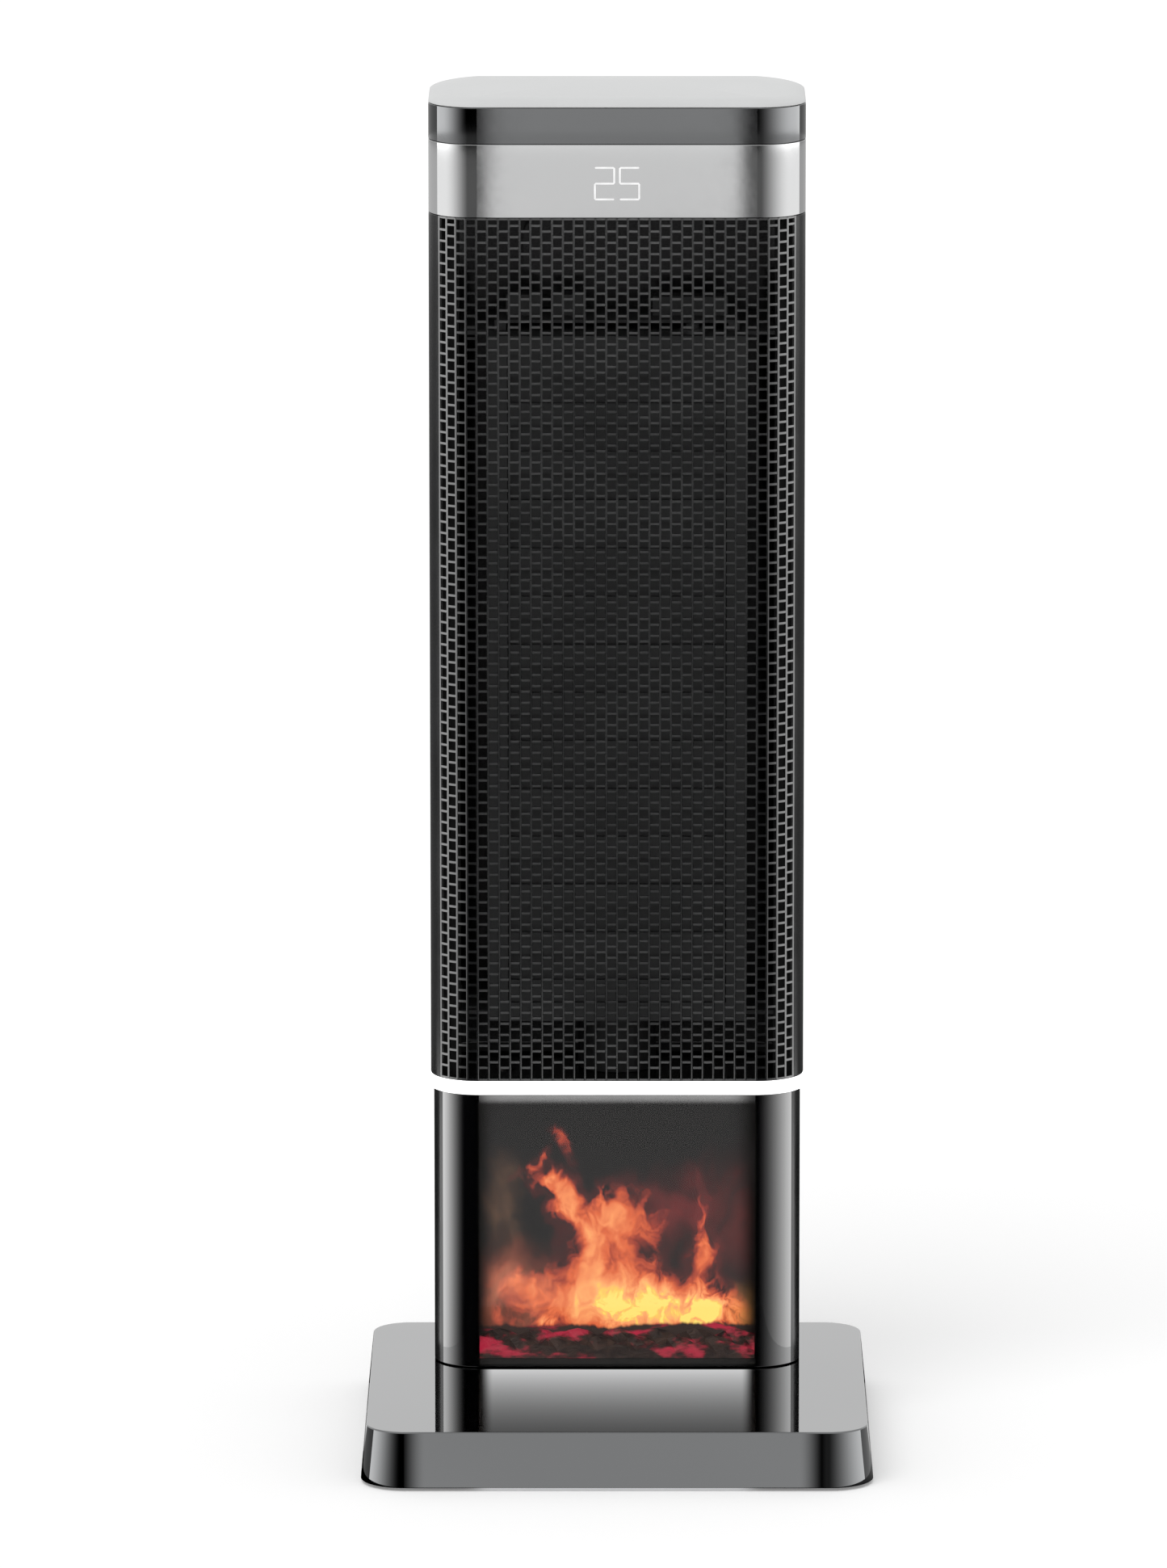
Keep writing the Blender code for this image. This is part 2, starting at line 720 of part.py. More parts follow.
def make_swivel_gear(parent):
    """The gear on the hub that the motor in the base turns."""
    outline = gear_outline(GEAR_TEETH, GEAR_MODULE, math.radians(-90))
    gear = prism("swivel_gear", outline, GEAR_BOTTOM, GEAR_TOP)
    bore = cylinder("bore", HUB_RADIUS + FIT, GEAR_BOTTOM - OVERRUN, GEAR_TOP + OVERRUN, 28)
    shift(cut(gear, bore), y=COLUMN_Y)
    return dress(gear, "white_plastic", (0, COLUMN_Y, GEAR_BOTTOM), parent)


def motor_top():
    return GEAR_BOTTOM - MOTOR_HEADROOM


def make_swivel_pinion(parent):
    """The pinion and its shaft. Half a tooth's turn puts a gap opposite the gear's tooth."""
    start = math.radians(90) + math.pi / PINION_TEETH
    pinion = prism("swivel_pinion", gear_outline(PINION_TEETH, GEAR_MODULE, start), GEAR_BOTTOM, GEAR_TOP)
    low = motor_top() - PINION_BORE_DEPTH + FIT
    shaft = cylinder("shaft", PINION_SHAFT_RADIUS, low, GEAR_TOP + FIT, 16)
    shift(join(pinion, shaft), y=PINION_Y)
    return dress(pinion, "brass", (0, PINION_Y, GEAR_BOTTOM), parent)


def make_swivel_motor():
    """A flat geared motor. Its shaft stands off its centre, and two ears hold it."""
    centre = (0, PINION_Y - MOTOR_OFFSET)
    top = motor_top()
    motor = cylinder("swivel_motor", MOTOR_RADIUS, BASE_PLATE_TOP + FIT, top, 28, centre)
    ear_reach = MOTOR_RADIUS + MOTOR_EAR_LENGTH
    ears = box(
        "ears",
        (-ear_reach, centre[1] - MOTOR_EAR_WIDTH / 2, top - MOTOR_EAR_THICKNESS - FIT),
        (ear_reach, centre[1] + MOTOR_EAR_WIDTH / 2, top - FIT),
    )
    boss = cylinder(
        "boss", MOTOR_BOSS_RADIUS, top - MOTOR_EAR_THICKNESS, top + MOTOR_BOSS_HEIGHT, 20, (0, PINION_Y)
    )
    join(motor, ears, boss)
    bore = cylinder(
        "bore",
        PINION_SHAFT_RADIUS + RUNNING_FIT,
        top - PINION_BORE_DEPTH,
        top + MOTOR_BOSS_HEIGHT + OVERRUN,
        16,
        (0, PINION_Y),
    )
    cut(motor, bore)
    return dress(motor, "zinc_steel", (0, PINION_Y, top))


def make_column_floor(parent):
    """The plate that carries the column, with the wire hole over the hub's bore."""
    inset = LOWER_INSET + WINDOW_WALL + FIT
    plate = prism("column_floor", column_outline(inset, PLAIN_STEPS), Z_COLUMN, FLOOR_TOP)
    hole = cylinder("hole", HUB_BORE, Z_COLUMN - OVERRUN, FLOOR_TOP + OVERRUN, 32, (0, COLUMN_Y))
    cut(plate, hole)
    return dress(plate, "black_plastic", (0, COLUMN_Y, Z_COLUMN), parent)


def make_flame_window(parent):
    window = wrap("flame_window", front_path, LOWER_INSET, WINDOW_WALL, Z_COLUMN, Z_LIGHT - FIT)
    return dress(window, "black_glass", (0, COLUMN_FRONT, Z_COLUMN), parent)


def switch_hole_half():
    """Half the width and half the length of the switch housing's body."""
    wall = SWITCH_CLEARANCE + SWITCH_WALL
    return ROCKER_WIDTH / 2 + wall, ROCKER_LENGTH / 2 + wall


def switch_z():
    return Z_COLUMN + SWITCH_HEIGHT


def rear_face(inset):
    return COLUMN_REAR - inset


def make_lower_rear_cover(parent):
    """The rear half of the flame chamber's wall, with the power switch's cut-out."""
    cover = wrap("lower_rear_cover", rear_path, LOWER_INSET, WINDOW_WALL, Z_COLUMN, Z_LIGHT - FIT)
    half_x, half_z = switch_hole_half()
    face = rear_face(LOWER_INSET)
    hole = box(
        "hole",
        (SWITCH_X - half_x - FIT, face - WINDOW_WALL - OVERRUN, switch_z() - half_z - FIT),
        (SWITCH_X + half_x + FIT, face + OVERRUN, switch_z() + half_z + FIT),
    )
    cut(cover, hole)
    return dress(cover, "black_plastic", (0, COLUMN_REAR, Z_COLUMN), parent)


def make_switch_housing(parent):
    """The power switch's body in its cut-out, with a bezel outside and a pocket for the rocker."""
    half_x, half_z = switch_hole_half()
    face = rear_face(LOWER_INSET)
    z = switch_z()
    housing = box(
        "switch_housing",
        (SWITCH_X - half_x, face - SWITCH_DEPTH, z - half_z),
        (SWITCH_X + half_x, face + FIT + SWITCH_BEZEL_THICKNESS / 2, z + half_z),
    )
    bezel = box(
        "bezel",
        (SWITCH_X - half_x - SWITCH_BEZEL, face + FIT, z - half_z - SWITCH_BEZEL),
        (SWITCH_X + half_x + SWITCH_BEZEL, face + FIT + SWITCH_BEZEL_THICKNESS, z + half_z + SWITCH_BEZEL),
    )
    join(housing, bezel)
    pocket = box(
        "pocket",
        (SWITCH_X - half_x + SWITCH_WALL, face - SWITCH_DEPTH + SWITCH_WALL, z - half_z + SWITCH_WALL),
        (SWITCH_X + half_x - SWITCH_WALL, face + SWITCH_BEZEL_THICKNESS + OVERRUN, z + half_z - SWITCH_WALL),
    )
    cut(housing, pocket)
    pin_y = rocker_axis_y()
    stub_reach = SWITCH_CLEARANCE - FIT
    for side in (-1, 1):
        stub = lay_along_x(cylinder("stub", ROCKER_DEPTH / 5, -stub_reach, stub_reach, 12))
        shift(stub, SWITCH_X + side * (ROCKER_WIDTH / 2 + SWITCH_CLEARANCE), pin_y, z)
        join(housing, stub)
    return dress(housing, "black_plastic", (SWITCH_X, face, z), parent)


def rocker_axis_y():
    return rear_face(LOWER_INSET) + SWITCH_BEZEL_THICKNESS - ROCKER_DEPTH / 2


def make_power_rocker(parent):
    """The rocker's face is a shallow V. At rest its lower end is pressed in, which is off."""
    half_length = ROCKER_LENGTH / 2
    half_depth = ROCKER_DEPTH / 2
    side = (
        (-half_length, -half_depth + ROCKER_RAKE),
        (0, -half_depth),
        (half_length, -half_depth + ROCKER_RAKE),
        (half_length, half_depth),
        (0, half_depth - ROCKER_RAKE),
        (-half_length, half_depth),
    )
    loops = [[(x, y, z) for z, y in side] for x in (-ROCKER_WIDTH / 2, ROCKER_WIDTH / 2)]
    rocker = loft("power_rocker", loops)
    reshape(rocker, Matrix.Rotation(ROCKER_TRAVEL / 2, 4, "X"))
    place = (SWITCH_X, rocker_axis_y(), switch_z())
    shift(rocker, *place)
    return dress(rocker, "red_plastic", place, parent)


def make_flame_screen(parent):
    """The panel behind the window that the flames show on."""
    near = COLUMN_FRONT + LOWER_INSET + WINDOW_WALL + SCREEN_GAP
    screen = box(
        "flame_screen",
        (-SCREEN_WIDTH / 2, near, FLOOR_TOP + FIT),
        (SCREEN_WIDTH / 2, near + SCREEN_THICKNESS, Z_LIGHT - FIT),
    )
    return dress(screen, "flame_print", (0, near, FLOOR_TOP), parent)


def make_ember_bed(parent):
    """A low bed of lumps between the window and the screen."""
    near = COLUMN_FRONT + LOWER_INSET + WINDOW_WALL + FIT
    far = near + SCREEN_GAP - FIT - FIT
    low = FLOOR_TOP + FIT
    half = COLUMN_WIDTH / 2 - COLUMN_RADIUS
    count = 4 * EMBER_LUMPS
    rows = []
    for share in (0, 0.5, 1):
        top = []
        for i in range(count + 1):
            along = i / count
            lump = abs(math.sin(math.pi * EMBER_LUMPS * along + share * math.pi))
            height = EMBER_HEIGHT * (0.6 + 0.4 * share) + EMBER_RIPPLE * (lump - 1)
            top.append((half - 2 * half * along, near + share * (far - near), low + height))
        ends = [(-half, near + share * (far - near), low), (half, near + share * (far - near), low)]
        rows.append(top + ends)
    bed = loft("ember_bed", rows)
    return dress(bed, "ember_resin", (0, near, low), parent)


def make_spindle_bracket(parent):
    """The left bearing of the spindle, standing on the column's floor."""
    bracket = bracket_plate("spindle_bearing", -1)
    cut(bracket, spindle_hole(-BRACKET_X, BRACKET_THICKNESS * 2))
    return dress(bracket, "white_plastic", (-BRACKET_X, SPINDLE_Y, FLOOR_TOP), parent)


def bracket_plate(name, side):
    """An upright plate with a round top about the spindle's axis, on the left or the right."""
    half = BRACKET_DEPTH / 2
    arch = [(half * math.cos(a), BRACKET_CROWN - half + half * math.sin(a)) for a in step_angles(0, 180, 8)]
    foot = FLOOR_TOP + FIT - SPINDLE_Z
    outline = [(half, foot)] + arch + [(-half, foot)]
    faces = sorted((side * BRACKET_X, side * (BRACKET_X + BRACKET_THICKNESS)))
    return loft(name, [[(x, SPINDLE_Y + y, SPINDLE_Z + z) for y, z in outline] for x in faces])


def spindle_hole(x, half_length):
    hole = lay_along_x(cylinder("hole", SPINDLE_RADIUS + RUNNING_FIT, -half_length, half_length, 20))
    return shift(hole, x, SPINDLE_Y, SPINDLE_Z)


def make_spindle_motor(parent):
    """The right bracket with the small motor behind it. The spindle's end runs in its bore."""
    motor = bracket_plate("spindle_motor", 1)
    start = BRACKET_X + BRACKET_THICKNESS / 2
    can = lay_along_x(cylinder("can", SPINDLE_MOTOR_RADIUS, 0, SPINDLE_MOTOR_LENGTH, 28))
    join(motor, shift(can, start, SPINDLE_Y, SPINDLE_Z))
    cut(motor, spindle_hole(BRACKET_X, BRACKET_THICKNESS + SPINDLE_END))
    return dress(motor, "zinc_steel", (BRACKET_X, SPINDLE_Y, SPINDLE_Z), parent)


def make_flame_spindle(parent):
    """A rod with polished paddles, each turned from the last, that throws moving light on the screen."""
    reach = BRACKET_X + BRACKET_THICKNESS
    rod = lay_along_x(cylinder("flame_spindle", SPINDLE_RADIUS, -reach, reach, 20))
    paddles = []
    pitch = 2 * BRACKET_X / (PADDLE_COUNT + 1)
    for number in range(PADDLE_COUNT):
        size = (PADDLE_LENGTH, PADDLE_THICKNESS, 2 * PADDLE_REACH)
        paddle = centred_box("paddle", (0, 0, 0), size)
        reshape(paddle, Matrix.Rotation(math.pi * number / 3, 4, "X"))
        paddles.append(shift(paddle, (number + 1) * pitch - BRACKET_X))
    join(rod, *paddles)
    shift(rod, 0, SPINDLE_Y, SPINDLE_Z)
    return dress(rod, "aluminium", (0, SPINDLE_Y, SPINDLE_Z), parent)


def make_led_board(parent):
    """A row of light diodes under the spindle."""
    low = FLOOR_TOP + FIT
    top = low + LED_BOARD_THICKNESS
    far = COLUMN_Y - HUB_BORE - FIT
    middle = far - LED_BOARD_DEPTH / 2
    near = far - LED_BOARD_DEPTH
    board = box("flame_led_board", (-LED_BOARD_WIDTH / 2, near, low), (LED_BOARD_WIDTH / 2, far, top))
    pitch = LED_BOARD_WIDTH / LED_COUNT
    leds = []
    for number in range(LED_COUNT):
        x = (number + 0.5) * pitch - LED_BOARD_WIDTH / 2
        half = LED_SIZE / 2
        near_corner = (x - half, middle - half, low + LED_BOARD_THICKNESS / 2)
        leds.append(box("led", near_corner, (x + half, middle + half, top + LED_HEIGHT)))
    join(board, *leds)
    return dress(board, "circuit_board", (0, middle, low), parent)


def wire_hole(low, high):
    return cylinder("hole", WIRE_HOLE_RADIUS, low - OVERRUN, high + OVERRUN, 20, (-WIRE_HOLE_X, COLUMN_Y))


def make_mid_deck(parent):
    """The deck between the flame chamber and the blower, inside the light ring."""
    deck = prism("mid_deck", column_outline(LIGHT_WALL + FIT, PLAIN_STEPS), Z_LIGHT, MID_DECK_TOP)
    cut(deck, wire_hole(Z_LIGHT, MID_DECK_TOP))
    return dress(deck, "black_plastic", (0, COLUMN_Y, Z_LIGHT), parent)


def make_light_ring(parent):
    ring = column_ring("light_ring", 0, LIGHT_WALL, Z_LIGHT, Z_GRILLE - FIT)
    return dress(ring, "white_diffuser", (0, COLUMN_FRONT, Z_LIGHT), parent)


def make_light_board(parent):
    """The strip of light diodes behind the ring's front, standing on the deck."""
    low = MID_DECK_TOP + FIT
    board = wrap("light_board", front_path, LIGHT_WALL + FIT, LIGHT_BOARD_WIDTH, low, low + BOARD_THICKNESS)
    return dress(board, "circuit_board", (0, COLUMN_FRONT, low), parent)


def front_length():
    """Length of the grille's outer face, from seam to seam round the front."""
    return COLUMN_WIDTH - 2 * COLUMN_RADIUS + 2 * COLUMN_RADIUS * seam_turn()


def seam_turn():
    return math.pi / 2 * SEAM_STEP / CORNER_STEPS


def front_place(along):
    """Point on the front's outer face and its outward angle, at this distance from the middle."""
    flat = COLUMN_WIDTH / 2 - COLUMN_RADIUS
    side = math.copysign(1, along)
    turn = max(abs(along) - flat, 0) / COLUMN_RADIUS
    x = side * (min(abs(along), flat) + COLUMN_RADIUS * math.sin(turn))
    y = COLUMN_FRONT + COLUMN_RADIUS * (1 - math.cos(turn))
    return x, y, side * turn - math.pi / 2


def row_shares(column):
    """Where the bars of a column of cells lie. Every other column is half a cell lower."""
    if column % 2 == 0:
        return [row / GRILLE_ROWS for row in range(GRILLE_ROWS + 1)]
    halves = [(row + 0.5) / GRILLE_ROWS for row in range(GRILLE_ROWS)]
    return [0] + halves + [1]


def grille_cells(bm):
    """Boxes through the grille's wall, one for each cell of the brick pattern."""
    pitch = (front_length() - 2 * GRILLE_EDGE) / GRILLE_COLUMNS
    low = Z_GRILLE + GRILLE_EDGE
    height = GRILLE_HEIGHT - FIT - 2 * GRILLE_EDGE
    half = (pitch - GRILLE_BAR) / 2
    inward = GRILLE_WALL + half * half / 2 / COLUMN_RADIUS + FIT
    for column in range(GRILLE_COLUMNS):
        x, y, angle = front_place((column + 0.5 - GRILLE_COLUMNS / 2) * pitch)
        outward = Vector((math.cos(angle), math.sin(angle), 0))
        sideways = Vector((-outward.y, outward.x, 0))
        face = Vector((x, y, 0))
        shares = row_shares(column)
        for first, last in zip(shares, shares[1:]):
            z_low = low + first * height + GRILLE_BAR / 2
            z_high = low + last * height - GRILLE_BAR / 2
            rings = []
            for z in (z_low, z_high):
                ring = []
                for across, reach in ((-1, -inward), (1, -inward), (1, OVERRUN), (-1, OVERRUN)):
                    point = face + sideways * half * across + outward * reach
                    ring.append(bm.verts.new((point.x, point.y, z)))
                rings.append(ring)
            bm.faces.new(rings[0])
            bm.faces.new(rings[1])
            for i in range(4):
                j = (i + 1) % 4
                bm.faces.new((rings[0][i], rings[0][j], rings[1][j], rings[1][i]))


def make_front_grille(parent):
    """The front wall, bent round both corners, pierced by a brick pattern."""
    grille = wrap("front_grille", front_path, 0, GRILLE_WALL, Z_GRILLE, Z_DISPLAY - FIT)
    cut(grille, object_from("cells", grille_cells))
    return dress(grille, "black_steel", (0, COLUMN_FRONT, Z_GRILLE), parent)


def cup_middle():
    return Z_DISPLAY - CUP_DROP - CUP_HEIGHT / 2


def cup_hole():
    outline = rounded_rectangle(CUP_WIDTH, CUP_HEIGHT, CUP_RADIUS, -FIT)
    hole = lay_along_y(prism("hole", outline, -COVER_WALL - OVERRUN, OVERRUN))
    return shift(hole, 0, COLUMN_REAR, cup_middle())


def intake_slots(bm):
    """Two columns of flat slots through the rear wall, beside the blower wheel."""
    low = LOWER_PLATE_Z + SLOT_MARGIN
    high = UPPER_PLATE_Z - SLOT_MARGIN
    for side in (-1, 1):
        for row in range(SLOT_ROWS):
            z = low + (high - low) * row / (SLOT_ROWS - 1)
            centre = (side * (SLOT_WIDTH + SLOT_GAP) / 2, COLUMN_REAR - COVER_WALL / 2, z)
            size = (SLOT_WIDTH, 2 * COVER_WALL, SLOT_HEIGHT)
            place = Matrix.Translation(centre) @ Matrix.Diagonal((*size, 1))
            bmesh.ops.create_cube(bm, size=1, matrix=place)


def make_rear_cover(parent):
    """The rear wall with its intake slots and the opening for the carrying cup."""
    cover = wrap("rear_cover", rear_path, 0, COVER_WALL, Z_GRILLE, Z_DISPLAY - FIT)
    cut(cover, object_from("slots", intake_slots), cup_hole())
    return dress(cover, "black_plastic", (0, COLUMN_REAR, Z_GRILLE), parent)


def make_handle_cup(parent):
    """The pocket in the rear that a hand lifts the heater by. Its flange lies behind the cover."""
    seat = -COVER_WALL - FIT
    skin = (
        (0, -CUP_DEPTH),
        (0, seat - CUP_WALL),
        (-CUP_FLANGE, seat - CUP_WALL),
        (-CUP_FLANGE, seat),
        (0, seat),
        (0, 0),
        (CUP_WALL, 0),
        (CUP_WALL, CUP_WALL - CUP_DEPTH),
    )
    loops = [at_height(rounded_rectangle(CUP_WIDTH, CUP_HEIGHT, CUP_RADIUS, i), z) for i, z in skin]
    cup = lay_along_y(loft("handle_cup", loops))
    shift(cup, 0, COLUMN_REAR, cup_middle())
    return dress(cup, "black_plastic", (0, COLUMN_REAR, cup_middle()), parent)


def make_upright(name, side, parent):
    """A steel channel from the middle deck to the top deck, open towards the blower."""
    outer = INNER_HALF_WIDTH
    inner = outer - UPRIGHT_WIDTH
    half = UPRIGHT_DEPTH / 2
    outline = (
        (inner, -half),
        (outer, -half),
        (outer, half),
        (inner, half),
        (inner, half - UPRIGHT_WALL),
        (outer - UPRIGHT_WALL, half - UPRIGHT_WALL),
        (outer - UPRIGHT_WALL, UPRIGHT_WALL - half),
        (inner, UPRIGHT_WALL - half),
    )
    points = [(side * x, COLUMN_Y + y) for x, y in outline]
    channel = prism(name, points, MID_DECK_TOP + FIT, Z_DISPLAY - FIT)
    return dress(channel, "zinc_steel", (side * outer, COLUMN_Y, MID_DECK_TOP), parent)


def frame_front():
    return COLUMN_FRONT + GRILLE_WALL + FRAME_GAP


def frame_back():
    return frame_front() + FRAME_DEPTH


def make_blower_plate(name, low, hole_radius, parent):
    """An end plate of the blower, held between the uprights behind the heater's frame."""
    rear = BLOWER_Y + WHEEL_RADIUS + WHEEL_GAP
    plate = box(
        name, (-PLATE_HALF_WIDTH, frame_back() + FIT, low), (PLATE_HALF_WIDTH, rear, low + BLOWER_PLATE)
    )
    hole = cylinder("hole", hole_radius, low - OVERRUN, low + BLOWER_PLATE + OVERRUN, 24, (0, BLOWER_Y))
    cut(plate, hole)
    return dress(plate, "zinc_steel", (0, BLOWER_Y, low), parent)


def make_blower_motor(parent):
    """The motor on the middle deck. The shaft's lower end runs in its bore."""
    top = MID_DECK_TOP + MOTOR_BAY
    shoulder = top - BLOWER_MOTOR_STEP
    profile = (
        (BLOWER_MOTOR_RADIUS, MID_DECK_TOP + FIT),
        (BLOWER_MOTOR_RADIUS, shoulder),
        (BLOWER_MOTOR_NECK, shoulder),
        (BLOWER_MOTOR_NECK, top),
    )
    motor = lathe("blower_motor", profile, 28)
    bore_radius = BLOWER_SHAFT_RADIUS + RUNNING_FIT
    cut(motor, cylinder("bore", bore_radius, top - SHAFT_SEAT - FIT, top + OVERRUN, 20))
    shift(motor, y=BLOWER_Y)
    return dress(motor, "zinc_steel", (0, BLOWER_Y, MID_DECK_TOP), parent)


def make_blower_shaft(parent):
    low = MID_DECK_TOP + MOTOR_BAY - SHAFT_SEAT
    high = UPPER_PLATE_Z + BLOWER_PLATE + TOP_BEARING_STEP
    shaft = cylinder("blower_shaft", BLOWER_SHAFT_RADIUS, low, high, 20, (0, BLOWER_Y))
    return dress(shaft, "zinc_steel", (0, BLOWER_Y, low), parent)


def make_top_bearing(parent):
    """The bush in the upper plate that steadies the shaft."""
    inner = BLOWER_SHAFT_RADIUS + RUNNING_FIT
    seat = UPPER_PLATE_Z + BLOWER_PLATE + FIT
    profile = (
        (inner, UPPER_PLATE_Z),
        (TOP_BEARING_RADIUS, UPPER_PLATE_Z),
        (TOP_BEARING_RADIUS, seat),
        (TOP_BEARING_RADIUS + TOP_BEARING_STEP, seat),
        (TOP_BEARING_RADIUS + TOP_BEARING_STEP, seat + TOP_BEARING_STEP),
        (inner, seat + TOP_BEARING_STEP),
    )
    bearing = shift(lathe("blower_top_bearing", profile, 20, closed=True), y=BLOWER_Y)
    return dress(bearing, "brass", (0, BLOWER_Y, UPPER_PLATE_Z), parent)


def blade_outline(angle):
    """One curved blade, seen along the wheel's axis."""
    outer = WHEEL_RADIUS - BLADE_SINK
    sides = []
    for side in (-1, 1):
        points = []
        for share in (0, 0.5, 1):
            radius = outer - BLADE_DEPTH * share
            turn = angle + BLADE_LEAN * share * (1 - share / 2) * BLADE_DEPTH / radius
            offset = side * BLADE_THICKNESS / 2 / radius
            points.append((radius * math.cos(turn + offset), radius * math.sin(turn + offset)))
        sides.append(points)
    return sides[1] + sides[0][::-1]


def make_blower_wheel(parent):
    """The cross-flow wheel: thin curved blades held by discs."""
    low = LOWER_PLATE_Z + BLOWER_PLATE + WHEEL_GAP
    high = UPPER_PLATE_Z - WHEEL_GAP
    span = high - low - WHEEL_DISC_THICKNESS
    discs = []
    for number in range(WHEEL_DISCS):
        z = low + span * number / (WHEEL_DISCS - 1)
        discs.append(cylinder("disc", WHEEL_RADIUS, z, z + WHEEL_DISC_THICKNESS, 24))
    half_disc = WHEEL_DISC_THICKNESS / 2
    blades = []
    for number in range(BLADE_COUNT):
        outline = blade_outline(math.tau * number / BLADE_COUNT)
        blades.append(prism("blade", outline, low + half_disc, high - half_disc))
    wheel = discs[0]
    wheel.name = "blower_wheel"
    join(wheel, *discs[1:], *blades)
    bore = cylinder("bore", BLOWER_SHAFT_RADIUS + FIT, low - OVERRUN, high + OVERRUN, 20)
    cut(wheel, bore)
    shift(wheel, y=BLOWER_Y)
    return dress(wheel, "black_plastic", (0, BLOWER_Y, low), parent)


def thicken(path, wall):
    """A closed outline for a wall that has the path on its right and this thickness."""
    outer = []
    for i, (x, y) in enumerate(path):
        before = path[max(i - 1, 0)]
        after = path[min(i + 1, len(path) - 1)]
        run = Vector((after[0] - before[0], after[1] - before[1])).normalized()
        outer.append((x - run.y * wall, y + run.x * wall))
    return list(path) + outer[::-1]


def blower_wall(name, outline):
    low = LOWER_PLATE_Z + BLOWER_PLATE + FIT
    return prism(name, outline, low, UPPER_PLATE_Z - FIT)


def make_scroll(parent):
    """The guide that wraps the wheel and widens towards the heater."""
    path = [(-HEATER_WIDTH / 2 - FRAME_RAIL / 2, frame_back() + FIT)]
    for step in range(SCROLL_STEPS + 1):
        share = step / SCROLL_STEPS
        angle = SCROLL_END + (SCROLL_START - SCROLL_END) * share
        radius = WHEEL_RADIUS + SCROLL_GAP + SCROLL_GROWTH * (1 - share)
        path.append((radius * math.cos(angle), BLOWER_Y + radius * math.sin(angle)))
    scroll = blower_wall("blower_scroll", thicken(path, SCROLL_WALL))
    return dress(scroll, "black_plastic", (0, BLOWER_Y, LOWER_PLATE_Z), parent)


def make_tongue(parent):
    """The wall across from the scroll, with a round nose close to the wheel."""
    radius = WHEEL_RADIUS + SCROLL_GAP + TONGUE_NOSE
    nose = (radius * math.cos(TONGUE_ANGLE), BLOWER_Y + radius * math.sin(TONGUE_ANGLE))
    foot = (HEATER_WIDTH / 2 + FRAME_RAIL / 2, frame_back() + FIT)
    tongue = blower_wall("blower_tongue", thicken([foot, nose], -SCROLL_WALL))
    join(tongue, blower_wall("nose", circle(TONGUE_NOSE, 16, nose)))
    return dress(tongue, "black_plastic", (*nose, LOWER_PLATE_Z), parent)


def make_heater_frame(parent):
    """The frame that holds the heating element in front of the blower."""
    half = HEATER_WIDTH / 2 + FIT
    low = LOWER_PLATE_Z
    high = UPPER_PLATE_Z + BLOWER_PLATE
    outer = half + FRAME_RAIL
    frame = box("heater_frame", (-outer, frame_front(), low), (outer, frame_back(), high))
    window = box(
        "window",
        (-half, frame_front() - OVERRUN, low + FRAME_RAIL),
        (half, frame_back() + OVERRUN, high - FRAME_RAIL),
    )
    cut(frame, window)
    return dress(frame, "white_plastic", (0, frame_front(), low), parent)


def make_heater_core(parent):
    """The heating element: flat fins on both sides of a solid middle."""
    low = LOWER_PLATE_Z + FRAME_RAIL + FIT
    high = UPPER_PLATE_Z + BLOWER_PLATE - FRAME_RAIL - FIT
    middle = (frame_front() + frame_back()) / 2
    half = HEATER_DEPTH / 2
    pitch = (high - low) / (HEATER_FINS - HEATER_FIN_GAP_SHARE)
    fin = pitch * (1 - HEATER_FIN_GAP_SHARE)
    edge = []
    for number in range(HEATER_FINS):
        z = low + pitch * number
        edge += [(half - HEATER_FIN_DEPTH, z), (half, z), (half, z + fin), (half - HEATER_FIN_DEPTH, z + fin)]
    outline = edge + [(-depth, z) for depth, z in edge[::-1]]
    loops = []
    for x in (-HEATER_WIDTH / 2, HEATER_WIDTH / 2):
        loops.append([(x, middle + depth, z) for depth, z in outline])
    core = loft("heater_core", loops)
    return dress(core, "aluminium", (0, middle, low), parent)


def make_thermal_cutout(parent):
    """The safety switch on top of the heater's frame."""
    low = UPPER_PLATE_Z + BLOWER_PLATE + FIT
    place = (CUTOUT_X, (frame_front() + frame_back()) / 2)
    profile = (
        (CUTOUT_RADIUS, 0),
        (CUTOUT_RADIUS, CUTOUT_HEIGHT / 2),
        (CUTOUT_RADIUS / 2, CUTOUT_HEIGHT / 2),
        (CUTOUT_RADIUS / 2, CUTOUT_HEIGHT),
    )
    cutout = shift(lathe("thermal_cutout", profile, 16), *place, low)
    return dress(cutout, "zinc_steel", (*place, low), parent)


def make_power_board(parent):
    """The board with its relays and heat sink, on four legs over the blower."""
    foot = UPPER_PLATE_Z + BLOWER_PLATE + FIT
    low = foot + BOARD_LEG
    top = low + BOARD_THICKNESS
    near = frame_back() + FIT
    far = near + POWER_BOARD_DEPTH
    half = POWER_BOARD_WIDTH / 2
    board = box("power_board", (-half, near, low), (half, far, top))
    bits = []
    leg = BOARD_LEG_WIDTH
    for x in (-half, half - leg):
        for y in (near, far - leg):
            bits.append(box("leg", (x, y, foot), (x + leg, y + leg, low + BOARD_THICKNESS / 2)))
    middle = (near + far) / 2
    deep = RELAY_DEPTH / 2
    for x in (-half + leg, -half + leg + leg + RELAY_WIDTH):
        far_corner = (x + RELAY_WIDTH, middle + deep, top + RELAY_HEIGHT)
        bits.append(box("relay", (x, middle - deep, low + FIT), far_corner))
    edge = half - leg
    bits.append(
        box("sink", (edge - SINK_WIDTH, middle - deep, low + FIT), (edge, middle + deep, top + SINK_HEIGHT))
    )
    join(board, *bits)
    return dress(board, "circuit_board", (0, near, low), parent)


